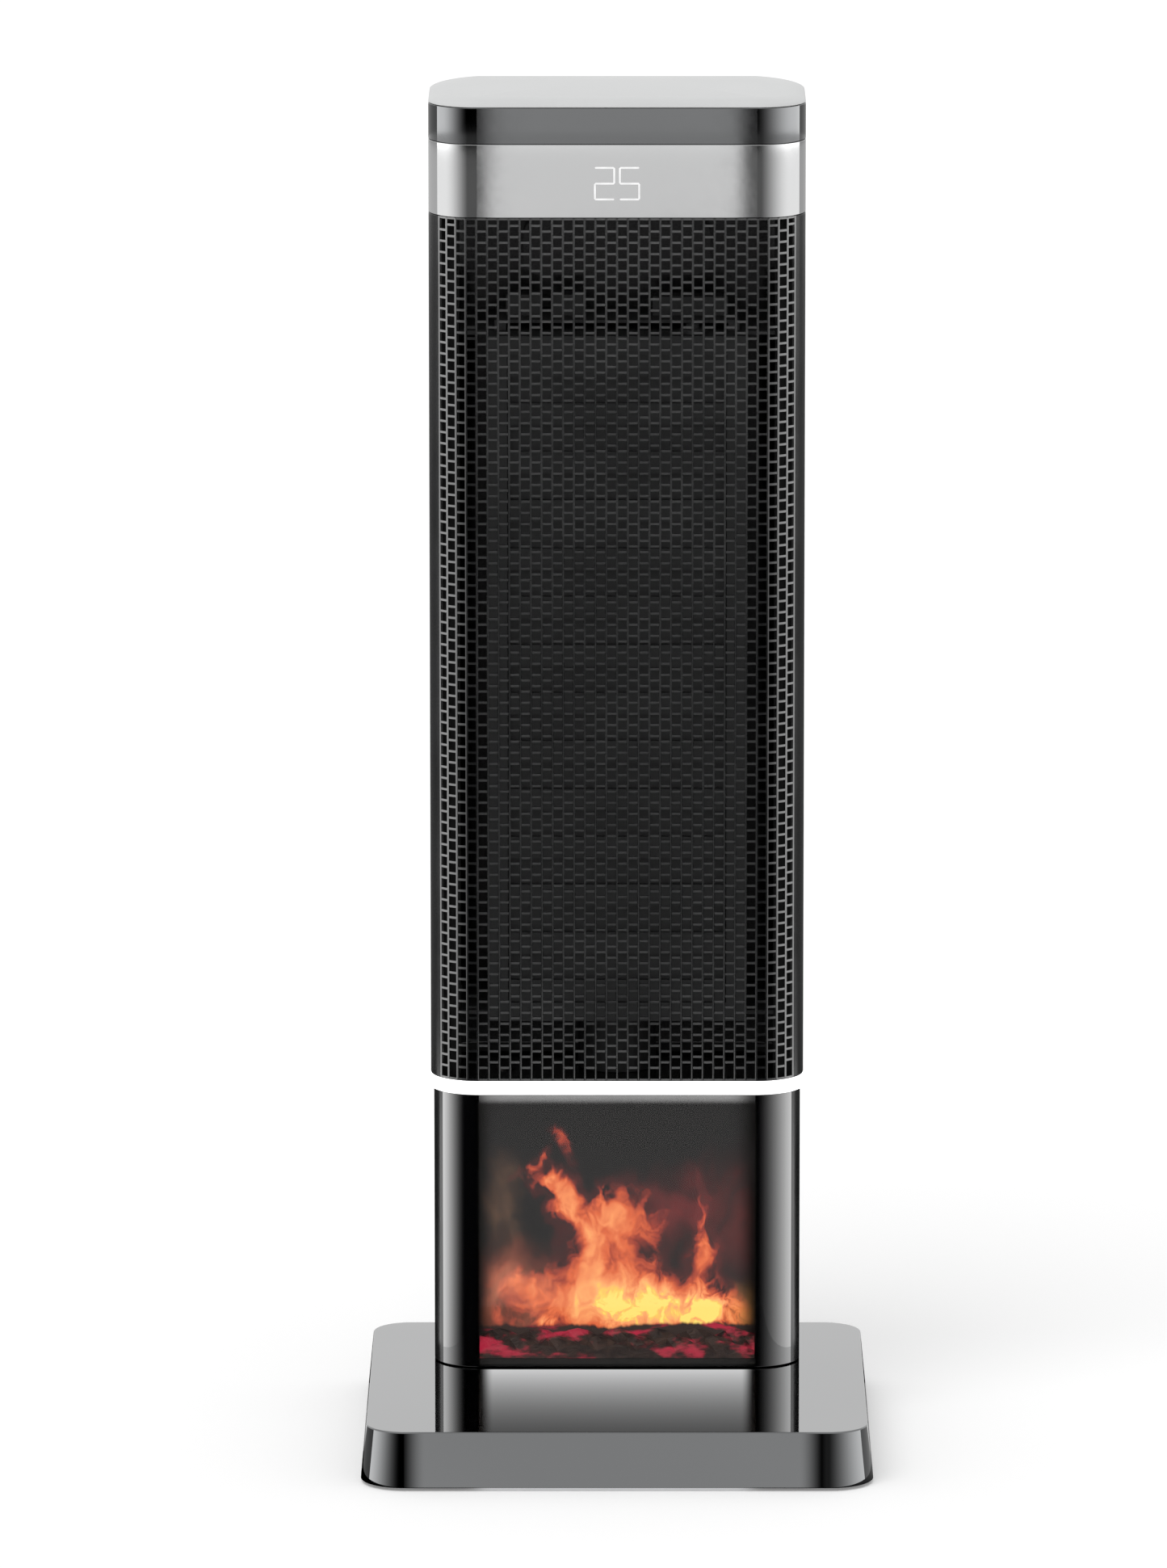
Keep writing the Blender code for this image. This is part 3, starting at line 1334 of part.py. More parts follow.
def make_top_deck(parent):
    """The deck that ties the uprights, the display band and the covers together."""
    top = Z_DISPLAY + DECK_THICKNESS
    deck = prism("top_deck", column_outline(BAND_WALL + FIT, PLAIN_STEPS), Z_DISPLAY, top)
    cut(deck, wire_hole(Z_DISPLAY, top))
    return dress(deck, "black_plastic", (0, COLUMN_Y, Z_DISPLAY), parent)


def make_display_band(parent):
    band = column_ring("display_band", 0, BAND_WALL, Z_DISPLAY, Z_TOP_BAND - FIT)
    return dress(band, "silver_gloss", (0, COLUMN_FRONT, Z_DISPLAY), parent)


def make_display_module(parent):
    """The digits' lamp box against the band's inner face, with its board behind."""
    near = COLUMN_FRONT + BAND_WALL + FIT
    low = Z_DISPLAY + DECK_THICKNESS + FIT
    high = low + DISPLAY_MODULE_HEIGHT
    half = DISPLAY_WIDTH / 2
    module = box("display_module", (-half, near, low), (half, near + DISPLAY_DEPTH, high))
    rear = near + DISPLAY_DEPTH + BOARD_THICKNESS / 2
    margin = BOARD_LEG
    board = box(
        "board", (-half - margin, rear - BOARD_THICKNESS, low + FIT), (half + margin, rear, high + margin)
    )
    join(module, board)
    return dress(module, "white_plastic", (0, near, low), parent)


def make_top_band(parent):
    band = column_ring("top_band", 0, BAND_WALL, Z_TOP_BAND, Z_LID - FIT)
    return dress(band, "smoked_gloss", (0, COLUMN_FRONT, Z_TOP_BAND), parent)


def lid_ceiling():
    return Z_LID + LID_HEIGHT - LID_WALL


def make_touch_board(parent):
    """The touch keys' board, close under the lid."""
    top = lid_ceiling() - FIT
    board = centred_box(
        "touch_board", (0, COLUMN_Y, top - BOARD_THICKNESS / 2), (TOUCH_WIDTH, TOUCH_DEPTH, BOARD_THICKNESS)
    )
    return dress(board, "circuit_board", (0, COLUMN_Y, top), parent)


def make_top_lid(parent):
    """The lid: a slight crown, a rounded shoulder and a skirt that fits inside the top band."""
    top = Z_LID + LID_HEIGHT
    flat = COLUMN_DEPTH / 2 - LID_SHOULDER
    skin = []
    for share in (0.2, 0.7):
        skin.append((LID_SHOULDER + flat * (1 - share), top + LID_CROWN * (1 - share * share)))
    for angle in step_angles(90, 0, 5):
        skin.append((LID_SHOULDER * (1 - math.cos(angle)), Z_LID + LID_HEIGHT * math.sin(angle)))
    inner = BAND_WALL + FIT
    skin += [
        (inner, Z_LID),
        (inner, Z_LID - SKIRT_DEPTH),
        (inner + SKIRT_WALL, Z_LID - SKIRT_DEPTH),
        (inner + SKIRT_WALL, lid_ceiling()),
    ]
    lid = loft("top_lid", [at_height(column_outline(i), z) for i, z in skin])
    return dress(lid, "light_satin", (0, COLUMN_Y, Z_LID), parent)


def make_base():
    make_base_cover()
    make_base_plate()
    for number, place in enumerate(foot_places(), start=1):
        make_foot(number, place)
    make_ballast_plate()
    make_tip_switch()
    make_cord_gland()
    make_swivel_bearing()
    make_swivel_motor()
    make_tip_plunger(axis_empty("plunger_axis", (TIP_X, TIP_Y, 0)))
    make_swivel_pinion(axis_empty("pinion_axis", (0, PINION_Y, GEAR_BOTTOM)))


def make_flame_section(column):
    make_column_floor(column)
    make_flame_window(column)
    make_lower_rear_cover(column)
    make_switch_housing(column)
    make_flame_screen(column)
    make_ember_bed(column)
    make_led_board(column)
    make_spindle_bracket(column)
    make_spindle_motor(column)
    make_flame_spindle(axis_empty("spindle_axis", (0, SPINDLE_Y, SPINDLE_Z), column))
    make_power_rocker(axis_empty("rocker_axis", (SWITCH_X, rocker_axis_y(), switch_z()), column))


def make_heating_section(column):
    make_mid_deck(column)
    make_light_ring(column)
    make_light_board(column)
    make_front_grille(column)
    make_rear_cover(column)
    make_handle_cup(column)
    make_upright("upright_left", -1, column)
    make_upright("upright_right", 1, column)
    make_blower_plate("blower_lower_plate", LOWER_PLATE_Z, BLOWER_SHAFT_RADIUS + RUNNING_FIT, column)
    make_blower_plate("blower_upper_plate", UPPER_PLATE_Z, TOP_BEARING_RADIUS + FIT, column)
    make_blower_motor(column)
    make_top_bearing(column)
    make_scroll(column)
    make_tongue(column)
    make_heater_frame(column)
    make_heater_core(column)
    make_thermal_cutout(column)
    blower = axis_empty("blower_axis", (0, BLOWER_Y, LOWER_PLATE_Z), column)
    make_blower_shaft(blower)
    make_blower_wheel(blower)


def make_head(column):
    make_top_deck(column)
    make_power_board(column)
    make_display_band(column)
    make_display_module(column)
    make_top_band(column)
    make_touch_board(column)
    make_top_lid(column)


def main():
    clear_scene()
    make_base()
    column = axis_empty("column_axis", (0, COLUMN_Y, Z_COLUMN))
    make_swivel_hub(column)
    make_swivel_gear(column)
    make_flame_section(column)
    make_heating_section(column)
    make_head(column)


main()
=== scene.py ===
import json
import math

import bmesh
import bpy
from mathutils import Matrix, Vector

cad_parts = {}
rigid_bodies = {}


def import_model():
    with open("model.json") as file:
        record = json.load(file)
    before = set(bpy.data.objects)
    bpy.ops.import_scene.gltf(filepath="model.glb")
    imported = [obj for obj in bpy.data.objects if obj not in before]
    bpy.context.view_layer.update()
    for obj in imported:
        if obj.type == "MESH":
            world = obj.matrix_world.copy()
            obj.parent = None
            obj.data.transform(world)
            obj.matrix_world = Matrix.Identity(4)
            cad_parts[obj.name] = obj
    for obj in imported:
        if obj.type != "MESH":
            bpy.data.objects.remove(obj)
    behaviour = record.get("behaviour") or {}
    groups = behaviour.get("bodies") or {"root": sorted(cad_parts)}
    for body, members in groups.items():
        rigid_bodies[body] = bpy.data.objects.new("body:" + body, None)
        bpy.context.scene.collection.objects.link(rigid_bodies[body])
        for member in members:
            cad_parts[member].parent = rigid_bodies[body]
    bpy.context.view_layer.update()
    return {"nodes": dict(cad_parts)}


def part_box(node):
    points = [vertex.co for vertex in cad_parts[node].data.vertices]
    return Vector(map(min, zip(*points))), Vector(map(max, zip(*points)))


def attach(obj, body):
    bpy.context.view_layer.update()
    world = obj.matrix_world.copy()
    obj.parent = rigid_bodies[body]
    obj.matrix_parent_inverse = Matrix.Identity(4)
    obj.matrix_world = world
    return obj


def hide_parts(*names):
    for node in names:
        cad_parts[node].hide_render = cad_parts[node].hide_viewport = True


for stray in list(bpy.data.objects):
    bpy.data.objects.remove(stray, do_unlink=True)
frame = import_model()
nodes = frame["nodes"]

# Main sizes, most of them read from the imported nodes
BAND_LOW, BAND_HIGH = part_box("display_band")
BASE_LOW, BASE_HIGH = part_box("base_cover")
HALF_WIDTH = BAND_HIGH.x
HALF_DEPTH = (BAND_HIGH.y - BAND_LOW.y) / 2
CENTRE_Y = (BAND_HIGH.y + BAND_LOW.y) / 2
FRONT_Y = BAND_LOW.y
REAR_Y = BAND_HIGH.y
CORNER_RADIUS = 0.026
BASE_RADIUS = 0.0235
LOWER_INSET = HALF_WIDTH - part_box("lower_rear_cover")[1].x
# The front pieces end at this angle round their corners, in degrees, with a gap to the rear ones
SEAM_ANGLE = 54
SEAM_GAP = 0.0003
WALL = 0.0022
LOWER_WALL = 0.0025
WALL_EDGE = 0.0003
# The lower walls hang this much below their nodes, so that the gap over the base shows as a hairline
FOOT_DROP = 0.0009
ARC_STEPS = 18
SHARP_ANGLE = 35


# Shapes
def corner_points(sign_x, sign_y, half_width, half_depth, radius, first, last, steps):
    """Points along one rounded corner from the angle first to last, in degrees."""
    centre_x = sign_x * (half_width - radius)
    centre_y = sign_y * (half_depth - radius)
    points = []
    for i in range(steps + 1):
        angle = math.radians(first + (last - first) * i / steps)
        points.append((centre_x + radius * math.cos(angle), centre_y + radius * math.sin(angle)))
    return points


def rounded_outline(half_width, half_depth, radius, centre_y=0.0, steps=ARC_STEPS):
    """A closed rounded rectangle, anticlockwise from the middle of its right side."""
    points = []
    for first, sign_x, sign_y in ((0, 1, 1), (90, -1, 1), (180, -1, -1), (270, 1, -1)):
        points += corner_points(sign_x, sign_y, half_width, half_depth, radius, first, first + 90, steps)
    return [(x, y + centre_y) for x, y in points]


def column_outline(inset):
    return rounded_outline(HALF_WIDTH - inset, HALF_DEPTH - inset, CORNER_RADIUS - inset, CENTRE_Y)


def base_outline(inset):
    half_x = BASE_HIGH.x - inset
    half_y = BASE_HIGH.y - inset
    return rounded_outline(half_x, half_y, BASE_RADIUS - inset)


def seam_corners(inset, *corners):
    """An open path round corners of the column, each as (sign x, sign y, first angle, last angle, steps)."""
    points = []
    for sign_x, sign_y, first, last, steps in corners:
        sizes = (HALF_WIDTH - inset, HALF_DEPTH - inset, CORNER_RADIUS - inset)
        points += corner_points(sign_x, sign_y, *sizes, first, last, steps)
    return [(x, y + CENTRE_Y) for x, y in points]


def seam_for(inset):
    """The seam's angle at this inset, which leaves half the gap on each side."""
    return SEAM_ANGLE - math.degrees(SEAM_GAP / 2 / (CORNER_RADIUS - inset))


def front_points(inset):
    """An open path from the left seam round the front to the right seam."""
    seam = seam_for(inset)
    return seam_corners(inset, (-1, -1, 270 - seam, 270, ARC_STEPS), (1, -1, 270, 270 + seam, ARC_STEPS))


def rear_points(inset):
    """An open path from the right seam round the rear to the left seam."""
    seam = seam_for(inset)
    return seam_corners(
        inset,
        (1, -1, 270 + seam, 360, ARC_STEPS // 2),
        (1, 1, 0, 90, ARC_STEPS),
        (-1, 1, 90, 180, ARC_STEPS),
        (-1, -1, 180, 270 - seam, ARC_STEPS // 2),
    )


def placed(name, data):
    obj = bpy.data.objects.new(name, data)
    bpy.context.scene.collection.objects.link(obj)
    return obj


def new_object(name, bm, material, sharp=SHARP_ANGLE):
    """Turns the bmesh into a smooth piece with crisp edges and flat faces kept flat."""
    bmesh.ops.recalc_face_normals(bm, faces=bm.faces)
    mesh = bpy.data.meshes.new(name)
    bm.to_mesh(mesh)
    bm.free()
    piece = placed(name, mesh)
    mesh.shade_smooth()
    mesh.set_sharp_from_angle(angle=math.radians(sharp))
    mesh.materials.append(material)
    return piece


def weigh_normals(piece):
    """Makes large faces set the normals, so that flat faces mirror without a bend."""
    modifier = piece.modifiers.new("Weighted normals", "WEIGHTED_NORMAL")
    modifier.mode = "FACE_AREA"
    modifier.weight = 100
    modifier.keep_sharp = True
    return piece


def along_profile(outline, profile):
    """A loop of the outline for each (inset, height) of the profile."""
    return [[(x, y, z) for x, y in outline(inset)] for inset, z in profile]


def level_loops(outline, heights):
    return [[(x, y, z) for x, y in outline] for z in heights]


def upright_loops(outline, depths):
    """Loops of an outline drawn in x and z, one at each y."""
    return [[(x, y, z) for x, z in outline] for y in depths]


def skin_loops(bm, loops, closed_loop=True, close_ends=False):
    """Faces between loops of equally many points. With close_ends the last loop meets the first."""
    rings = [[bm.verts.new(point) for point in loop] for loop in loops]
    pairs = list(zip(rings, rings[1:]))
    if close_ends:
        pairs.append((rings[-1], rings[0]))
    for lower, upper in pairs:
        count = len(lower) if closed_loop else len(lower) - 1
        for i in range(count):
            j = (i + 1) % len(lower)
            bm.faces.new((lower[i], lower[j], upper[j], upper[i]))
    return rings


def skin_and_cap(bm, loops):
    rings = skin_loops(bm, loops)
    for ring in (rings[0], rings[-1]):
        bm.faces.new(ring)


def quarter(steps):
    """The angles of a quarter turn in even steps, both ends included."""
    return [math.radians(90 * i / steps) for i in range(steps + 1)]


def lower_edge(inset, low, edge, steps):
    return [(inset + edge * (1 - math.sin(a)), low + edge * (1 - math.cos(a))) for a in quarter(steps)]


def upper_edge(inset, high, edge, steps):
    return [(inset + edge * (1 - math.cos(a)), high - edge * (1 - math.sin(a))) for a in quarter(steps)]


def rounded_profile(outer, inner, low, high, edge):
    """A wall's cross-section, as (inset, height), with its two outer edges rounded."""
    rounded = lower_edge(outer, low, edge, 3) + upper_edge(outer, high, edge, 3)
    return rounded + [(inner, high), (inner, low)]


def ring_piece(name, outline, profile, material):
    """A closed ring whose cross-section is the profile of (inset, height)."""
    bm = bmesh.new()
    skin_loops(bm, along_profile(outline, profile), close_ends=True)
    return weigh_normals(new_object(name, bm, material))


def wall_piece(name, path, profile, material):
    """A wall along an open path, closed at both ends."""
    bm = bmesh.new()
    rings = skin_loops(bm, along_profile(path, profile), closed_loop=False, close_ends=True)
    for end in (0, -1):
        bm.faces.new([ring[end] for ring in rings])
    return weigh_normals(new_object(name, bm, material))


def box_into(bm, low, high):
    places = ((x, y, z) for z in (low[2], high[2]) for y in (low[1], high[1]) for x in (low[0], high[0]))
    corners = [bm.verts.new(place) for place in places]
    for ids in ((0, 2, 3, 1), (4, 5, 7, 6), (0, 1, 5, 4), (2, 6, 7, 3), (0, 4, 6, 2), (1, 3, 7, 5)):
        bm.faces.new([corners[i] for i in ids])


def carve(piece, cutter):
    """Takes the cutter away from the piece and settles the result into its mesh."""
    modifier = piece.modifiers.new("Cut", "BOOLEAN")
    modifier.object = cutter
    modifier.operation = "DIFFERENCE"
    modifier.solver = "EXACT"
    while piece.modifiers[0] != modifier:
        piece.modifiers.move(len(piece.modifiers) - 1, 0)
    others = [other for other in piece.modifiers if other != modifier]
    for other in others:
        other.show_viewport = False
    graph = bpy.context.evaluated_depsgraph_get()
    mesh = bpy.data.meshes.new_from_object(piece.evaluated_get(graph))
    piece.modifiers.remove(modifier)
    for other in others:
        other.show_viewport = True
    old = piece.data
    piece.data = mesh
    bpy.data.meshes.remove(old)
    bpy.data.objects.remove(cutter, do_unlink=True)
    piece.data.shade_smooth()
    piece.data.set_sharp_from_angle(angle=math.radians(SHARP_ANGLE))
    return piece


# Materials
class Nodes:
    """A short way to write the nodes of a new material, or of another owner such as a world."""

    def __init__(self, name, owner=None):
        self.material = owner or bpy.data.materials.new(name)
        self.material.use_nodes = True
        self.tree = self.material.node_tree
        self.shader = self.tree.nodes.get("Principled BSDF")
        self.output = self.tree.nodes.get("Material Output")

    def add(self, kind, inputs=None, **settings):
        node = self.tree.nodes.new("ShaderNode" + kind)
        for key, value in settings.items():
            setattr(node, key, value)
        for key, value in (inputs or {}).items():
            self.put(node.inputs[key], value)
        return node

    def put(self, socket, value):
        if isinstance(value, bpy.types.NodeSocket):
            self.tree.links.new(value, socket)
        else:
            socket.default_value = value

    def set(self, **values):
        for key, value in values.items():
            self.put(self.shader.inputs[key.replace("_", " ")], value)
        return self.material

    def maths(self, operation, first, second=0.0, third=0.0):
        return self.add("Math", {0: first, 1: second, 2: third}, operation=operation).outputs[0]

    def times(self, first, second):
        return self.maths("MULTIPLY", first, second)

    def minus(self, first, second):
        return self.maths("SUBTRACT", first, second)

    def spread(self, value, low, high, to_low=0.0, to_high=1.0, smooth=True):
        node = self.add("MapRange", {"Value": value, 1: low, 2: high, 3: to_low, 4: to_high})
        node.interpolation_type = "SMOOTHSTEP" if smooth else "LINEAR"
        return node.outputs["Result"]

    def place(self):
        """The point's place in the shared frame, which the piece carries with it as it moves."""
        return self.add("TexCoord").outputs["Object"]

    def axes(self):
        """The point's place as three values, by name."""
        return self.add("SeparateXYZ", {0: self.place()}).outputs

    def ray(self, fact):
        return self.add("LightPath").outputs[fact]

    def noise(self, scale, detail=3.0, roughness=0.5, stretch=None, distortion=0.0, seed=0.0):
        where = self.place()
        if stretch or seed:
            shift = (seed, seed * 0.7, seed * 1.3)
            inputs = {"Vector": where, "Scale": stretch or (1, 1, 1), "Location": shift}
            where = self.add("Mapping", inputs).outputs[0]
        inputs = {"Vector": where, "Scale": scale, "Detail": detail}
        inputs |= {"Roughness": roughness, "Distortion": distortion}
        return self.add("TexNoise", inputs).outputs["Fac"]

    def blend(self, share, first, second, mode="MIX"):
        node = self.add("Mix", data_type="RGBA", blend_type=mode)
        for index, value in ((0, share), (6, first), (7, second)):
            self.put(node.inputs[index], value)
        return node.outputs[2]

    def ramp(self, value, stops):
        node = self.add("ValToRGB", {0: value})
        ramp = node.color_ramp
        while len(ramp.elements) < len(stops):
            ramp.elements.new(0.5)
        for element, (position, colour) in zip(ramp.elements, stops):
            element.position = position
            element.color = (*colour, 1)
        return node.outputs[0]

    def bump(self, height, strength, distance):
        inputs = {"Height": height, "Strength": strength, "Distance": distance}
        self.put(self.shader.inputs["Normal"], self.add("Bump", inputs).outputs[0])


def grey(value, tint=0.0):
    return (value * (1 - tint), value, value * (1 + tint), 1)


def gloss(name, tone, metallic, rough_low, rough_high, waviness, tint=0.02, coat=0.0):
    """A smooth lacquered or plated surface: faint orange peel, hand smudges and dust in its shine."""
    n = Nodes(name)
    smudge = n.noise(14, 4, 0.6)
    fine = n.noise(160, 3, 0.6, seed=3.1)
    mottle = n.noise(5, 2, 0.5, seed=7.7)
    rough = n.spread(n.maths("MULTIPLY_ADD", fine, 0.35, smudge), 0.45, 0.95, rough_low, rough_high)
    colour = n.blend(n.spread(mottle, 0.35, 0.65), grey(tone * 0.97, tint), grey(tone * 1.03, tint))
    n.bump(n.noise(210, 2, 0.5, seed=1.7), 1.0, waviness)
    return n.set(Base_Color=colour, Metallic=metallic, Roughness=rough, Coat_Weight=coat, Coat_Roughness=0.03)


def moulded(name, tone, rough_low, rough_high, grain, depth, tint=0.0, colour=None, ior=1.5, vary=0.1):
    """Spark-eroded plastic: a fine even grain, cloudy shine and slightly uneven colour."""
    n = Nodes(name)
    base = colour or grey(tone, tint)[:3]
    darker = tuple(c * (1 - vary) for c in base) + (1,)
    lighter = tuple(min(c * (1 + vary), 1) for c in base) + (1,)
    cloud = n.noise(22, 4, 0.6)
    pits = n.noise(grain, 2, 0.55, seed=2.3)
    shade = n.maths("MULTIPLY_ADD", pits, 0.35, n.times(cloud, 0.65))
    n.bump(pits, 0.55, depth)
    rough = n.spread(cloud, 0.3, 0.7, rough_low, rough_high)
    return n.set(Base_Color=n.blend(n.spread(shade, 0.35, 0.65), darker, lighter), Roughness=rough, IOR=ior)


def metal(name, colour, rough_low, rough_high, stretch, scale):
    """Bare metal with rolled or brushed lines along one direction and a cloudy shine."""
    n = Nodes(name)
    lines = n.noise(scale, 4, 0.65, stretch=stretch)
    cloud = n.noise(35, 3, 0.6, seed=5.0)
    mixed = n.maths("MULTIPLY_ADD", lines, 0.5, n.times(cloud, 0.5))
    rough = n.spread(mixed, 0.35, 0.65, rough_low, rough_high)
    dark = tuple(c * 0.85 for c in colour) + (1,)
    n.bump(lines, 0.5, 0.00002)
    shade = n.blend(n.spread(lines, 0.3, 0.7), dark, (*colour, 1))
    return n.set(Base_Color=shade, Metallic=1.0, Roughness=rough)


CENTIMETRES = 100
PICTURE_FOOT = 0.0327


def flame_print(name):
    """A lit transparency of a fire, made of noise: embers, a yellow core, orange tongues and dark smoke.
    Places and sizes are in centimetres across and up, from the middle of the picture's foot."""
    n = Nodes(name)
    where = n.axes()
    across = n.times(where["X"], CENTIMETRES)
    up = n.times(n.minus(where["Z"], PICTURE_FOOT), CENTIMETRES)
    plane = n.add("CombineXYZ", {0: across, 1: up}).outputs[0]

    def vector(operation, first, second, third=(0, 0, 0)):
        return n.add("VectorMath", {0: first, 1: second, 2: third}, operation=operation).outputs[0]

    def texture(spot, stretch, detail, roughness, seed, output="Fac", kind="FBM", distortion=0.0):
        spot = vector("MULTIPLY_ADD", spot, (*stretch, 1), (seed, seed * 0.6, seed * 1.7))
        inputs = {"Vector": spot, "Scale": 1.0, "Detail": detail}
        inputs |= {"Roughness": roughness, "Distortion": distortion}
        return n.add("TexNoise", inputs, noise_type=kind, normalize=True).outputs[output]

    def total(*values):
        result = values[0]
        for value in values[1:]:
            result = n.maths("ADD", result, value)
        return result

    middle = (0.5, 0.5, 0.5)
    swirl = vector("SUBTRACT", texture(plane, (0.32, 0.22), 2, 0.5, 4.2, "Color"), middle)
    curl = vector("SUBTRACT", texture(plane, (1.0, 0.65), 4, 0.55, 9.1, "Color", distortion=0.6), middle)
    lively = n.spread(up, 0.8, 9.0, 0.25, 1.0, smooth=False)
    warp = vector("ADD", vector("MULTIPLY", swirl, (3.2, 2.0, 0)), vector("MULTIPLY", curl, (2.0, 1.8, 0)))
    scale = n.add("CombineXYZ", {0: lively, 1: lively}).outputs[0]
    spot = vector("MULTIPLY_ADD", warp, scale, plane)

    def lump(centre, size, tilt=0.0):
        """A soft lump, 1 at its centre and 0 at its edge, tilted by degrees."""
        shift = vector("SUBTRACT", spot, (*centre, 0))
        if tilt:
            inputs = {"Vector": shift, "Angle": math.radians(tilt)}
            shift = n.add("VectorRotate", inputs, rotation_type="Z_AXIS").outputs[0]
        share = vector("DIVIDE", shift, (*size, 1))
        reach = n.add("VectorMath", {0: share}, operation="LENGTH").outputs["Value"]
        return n.spread(reach, 1.0, 0.0)

    lumps = (
        (0.90, lump((-0.8, 3.2), (5.4, 3.3))),
        (0.75, lump((3.6, 2.6), (4.4, 2.7))),
        (0.62, lump((-1.9, 6.4), (1.9, 3.6), tilt=-12)),
        (0.55, lump((-2.6, 8.6), (1.3, 2.2), tilt=10)),
        (0.50, lump((-3.5, 9.8), (1.7, 1.1), tilt=35)),
        (0.34, lump((-2.7, 11.6), (0.6, 1.5), tilt=-38)),
        (0.34, lump((-4.6, 10.8), (1.5, 0.45), tilt=-35)),
        (0.62, lump((0.8, 7.0), (2.8, 3.4), tilt=8)),
        (0.40, lump((-0.4, 7.9), (1.9, 2.1))),
        (0.46, lump((4.3, 7.6), (0.55, 3.4))),
        (0.50, lump((4.6, 5.4), (1.6, 2.2), tilt=12)),
        (0.40, lump((-5.4, 3.4), (3.2, 3.0))),
    )
    body = total(*(n.times(value, share) for share, value in lumps))
    strands = texture(spot, (1.5, 0.42), 5, 0.62, 2.7, kind="RIDGED_MULTIFRACTAL")
    puffs = texture(spot, (0.9, 0.75), 5, 0.6, 6.6, distortion=1.0)
    detail = total(
        n.times(n.minus(strands, 0.45), 0.42),
        n.times(n.minus(puffs, 0.5), 0.75),
    )
    alight = n.spread(body, 0.04, 0.30)
    heat = n.maths("MULTIPLY_ADD", detail, alight, body)
    core = total(
        n.times(lump((1.2, 2.8), (3.6, 2.4)), 0.60),
        n.times(lump((4.8, 2.5), (3.2, 2.1)), 0.70),
        n.times(lump((-3.8, 2.0), (0.9, 0.5)), 0.6),
    )
    heat = n.maths("ADD", heat, n.times(core, n.spread(puffs, 0.36, 0.60, 0.25, 1.0)))
    flame = n.ramp(heat, (
        (0.00, (0.0, 0.0, 0.0)),
        (0.10, (0.045, 0.006, 0.006)),
        (0.22, (0.30, 0.035, 0.018)),
        (0.38, (0.66, 0.12, 0.038)),
        (0.58, (0.83, 0.26, 0.095)),
        (0.80, (0.92, 0.42, 0.15)),
        (0.93, (0.98, 0.58, 0.11)),
        (1.00, (1.0, 0.72, 0.17)),
    ))
    smoke = texture(plane, (0.30, 0.20), 5, 0.6, 12.0, distortion=0.8)
    haze = (0.0035, 0.0035, 0.004, 1)
    for centre, size, colour, strength in (
        ((-6.2, 8.5), (1.6, 3.6), (0.13, 0.070, 0.043), 0.9),
        ((-5.8, 3.4), (3.8, 3.8), (0.42, 0.135, 0.075), 1.0),
        ((6.6, 8.0), (3.2, 5.0), (0.085, 0.014, 0.014), 1.0),
        ((3.4, 8.8), (2.6, 2.6), (0.16, 0.018, 0.020), 0.8),
        ((7.2, 2.6), (1.8, 2.2), (0.40, 0.20, 0.045), 0.9),
    ):
        share = n.times(lump(centre, size), n.spread(smoke, 0.36, 0.66, 0.25, strength))
        haze = n.blend(share, haze, (*colour, 1))
    picture = n.blend(1.0, haze, flame, "SCREEN")
    line = total(1.75, n.times(n.minus(texture(plane, (0.45, 0.0), 4, 0.6, 15.0), 0.5), 1.3))
    bed = n.spread(n.minus(up, line), 0.10, -0.10)
    patches = n.spread(texture(plane, (0.42, 1.3), 3, 0.55, 20.0, distortion=0.5), 0.52, 0.66)
    coals = n.blend(patches, (0.024, 0.014, 0.012, 1), (0.36, 0.012, 0.040, 1))
    picture = n.blend(bed, picture, coals)
    side_fade = (0.0635, 0.0755)
    sides = n.spread(n.maths("ABSOLUTE", where["X"]), *side_fade)
    picture = n.blend(sides, picture, (0, 0, 0, 1))
    n.bump(n.noise(300, 2), 0.3, 0.000004)
    n.set(Base_Color=(0.01, 0.01, 0.01, 1), Roughness=0.5, Specular_IOR_Level=0.15)
    return n.set(Emission_Color=picture, Emission_Strength=1.25)


def ember_resin(name):
    """Cast resin coals over a lamp: dark crusts with crimson glowing through the hollows."""
    n = Nodes(name)
    lumps = n.noise(110, 5, 0.65, stretch=(1, 1.4, 1.8), distortion=0.7)
    glow = n.spread(n.noise(48, 4, 0.6, stretch=(0.8, 1, 2.0), seed=3.0), 0.50, 0.64)
    crust = n.blend(n.spread(lumps, 0.35, 0.7), (0.010, 0.007, 0.006, 1), (0.055, 0.034, 0.028, 1))
    light = n.blend(glow, (0.004, 0.001, 0.001, 1), (0.40, 0.014, 0.045, 1))
    n.bump(lumps, 1.0, 0.0012)
    n.set(Base_Color=crust, Roughness=n.spread(lumps, 0.3, 0.7, 0.30, 0.65))
    return n.set(Emission_Color=light, Emission_Strength=1.0)


def smoked_glass(name, through):
    """Gloss black glass, mirror-coated, with a clear panel in its flat front for the flames."""
    n = Nodes(name)
    where = n.axes()
    side_fade, top_fade = (0.0762, 0.0738), (0.1815, 0.176)
    clear_x = n.spread(n.maths("ABSOLUTE", where["X"]), *side_fade)
    clear = n.times(clear_x, n.spread(where["Z"], *top_fade))
    smudge = n.noise(18, 4, 0.6)
    n.set(Base_Color=(0.002, 0.002, 0.0025, 1), Roughness=n.spread(smudge, 0.35, 0.75, 0.03, 0.075), IOR=3.4)
    n.bump(n.noise(190, 2, 0.5, seed=1.7), 1.0, 0.0000006)
    see = n.add("BsdfTransparent", {"Color": (0.98, 0.96, 0.94, 1)})
    share = n.times(clear, through)
    mix = n.add("MixShader", {0: share, 1: n.shader.outputs[0], 2: see.outputs[0]})
    n.put(n.output.inputs["Surface"], mix.outputs[0])
    return n.material


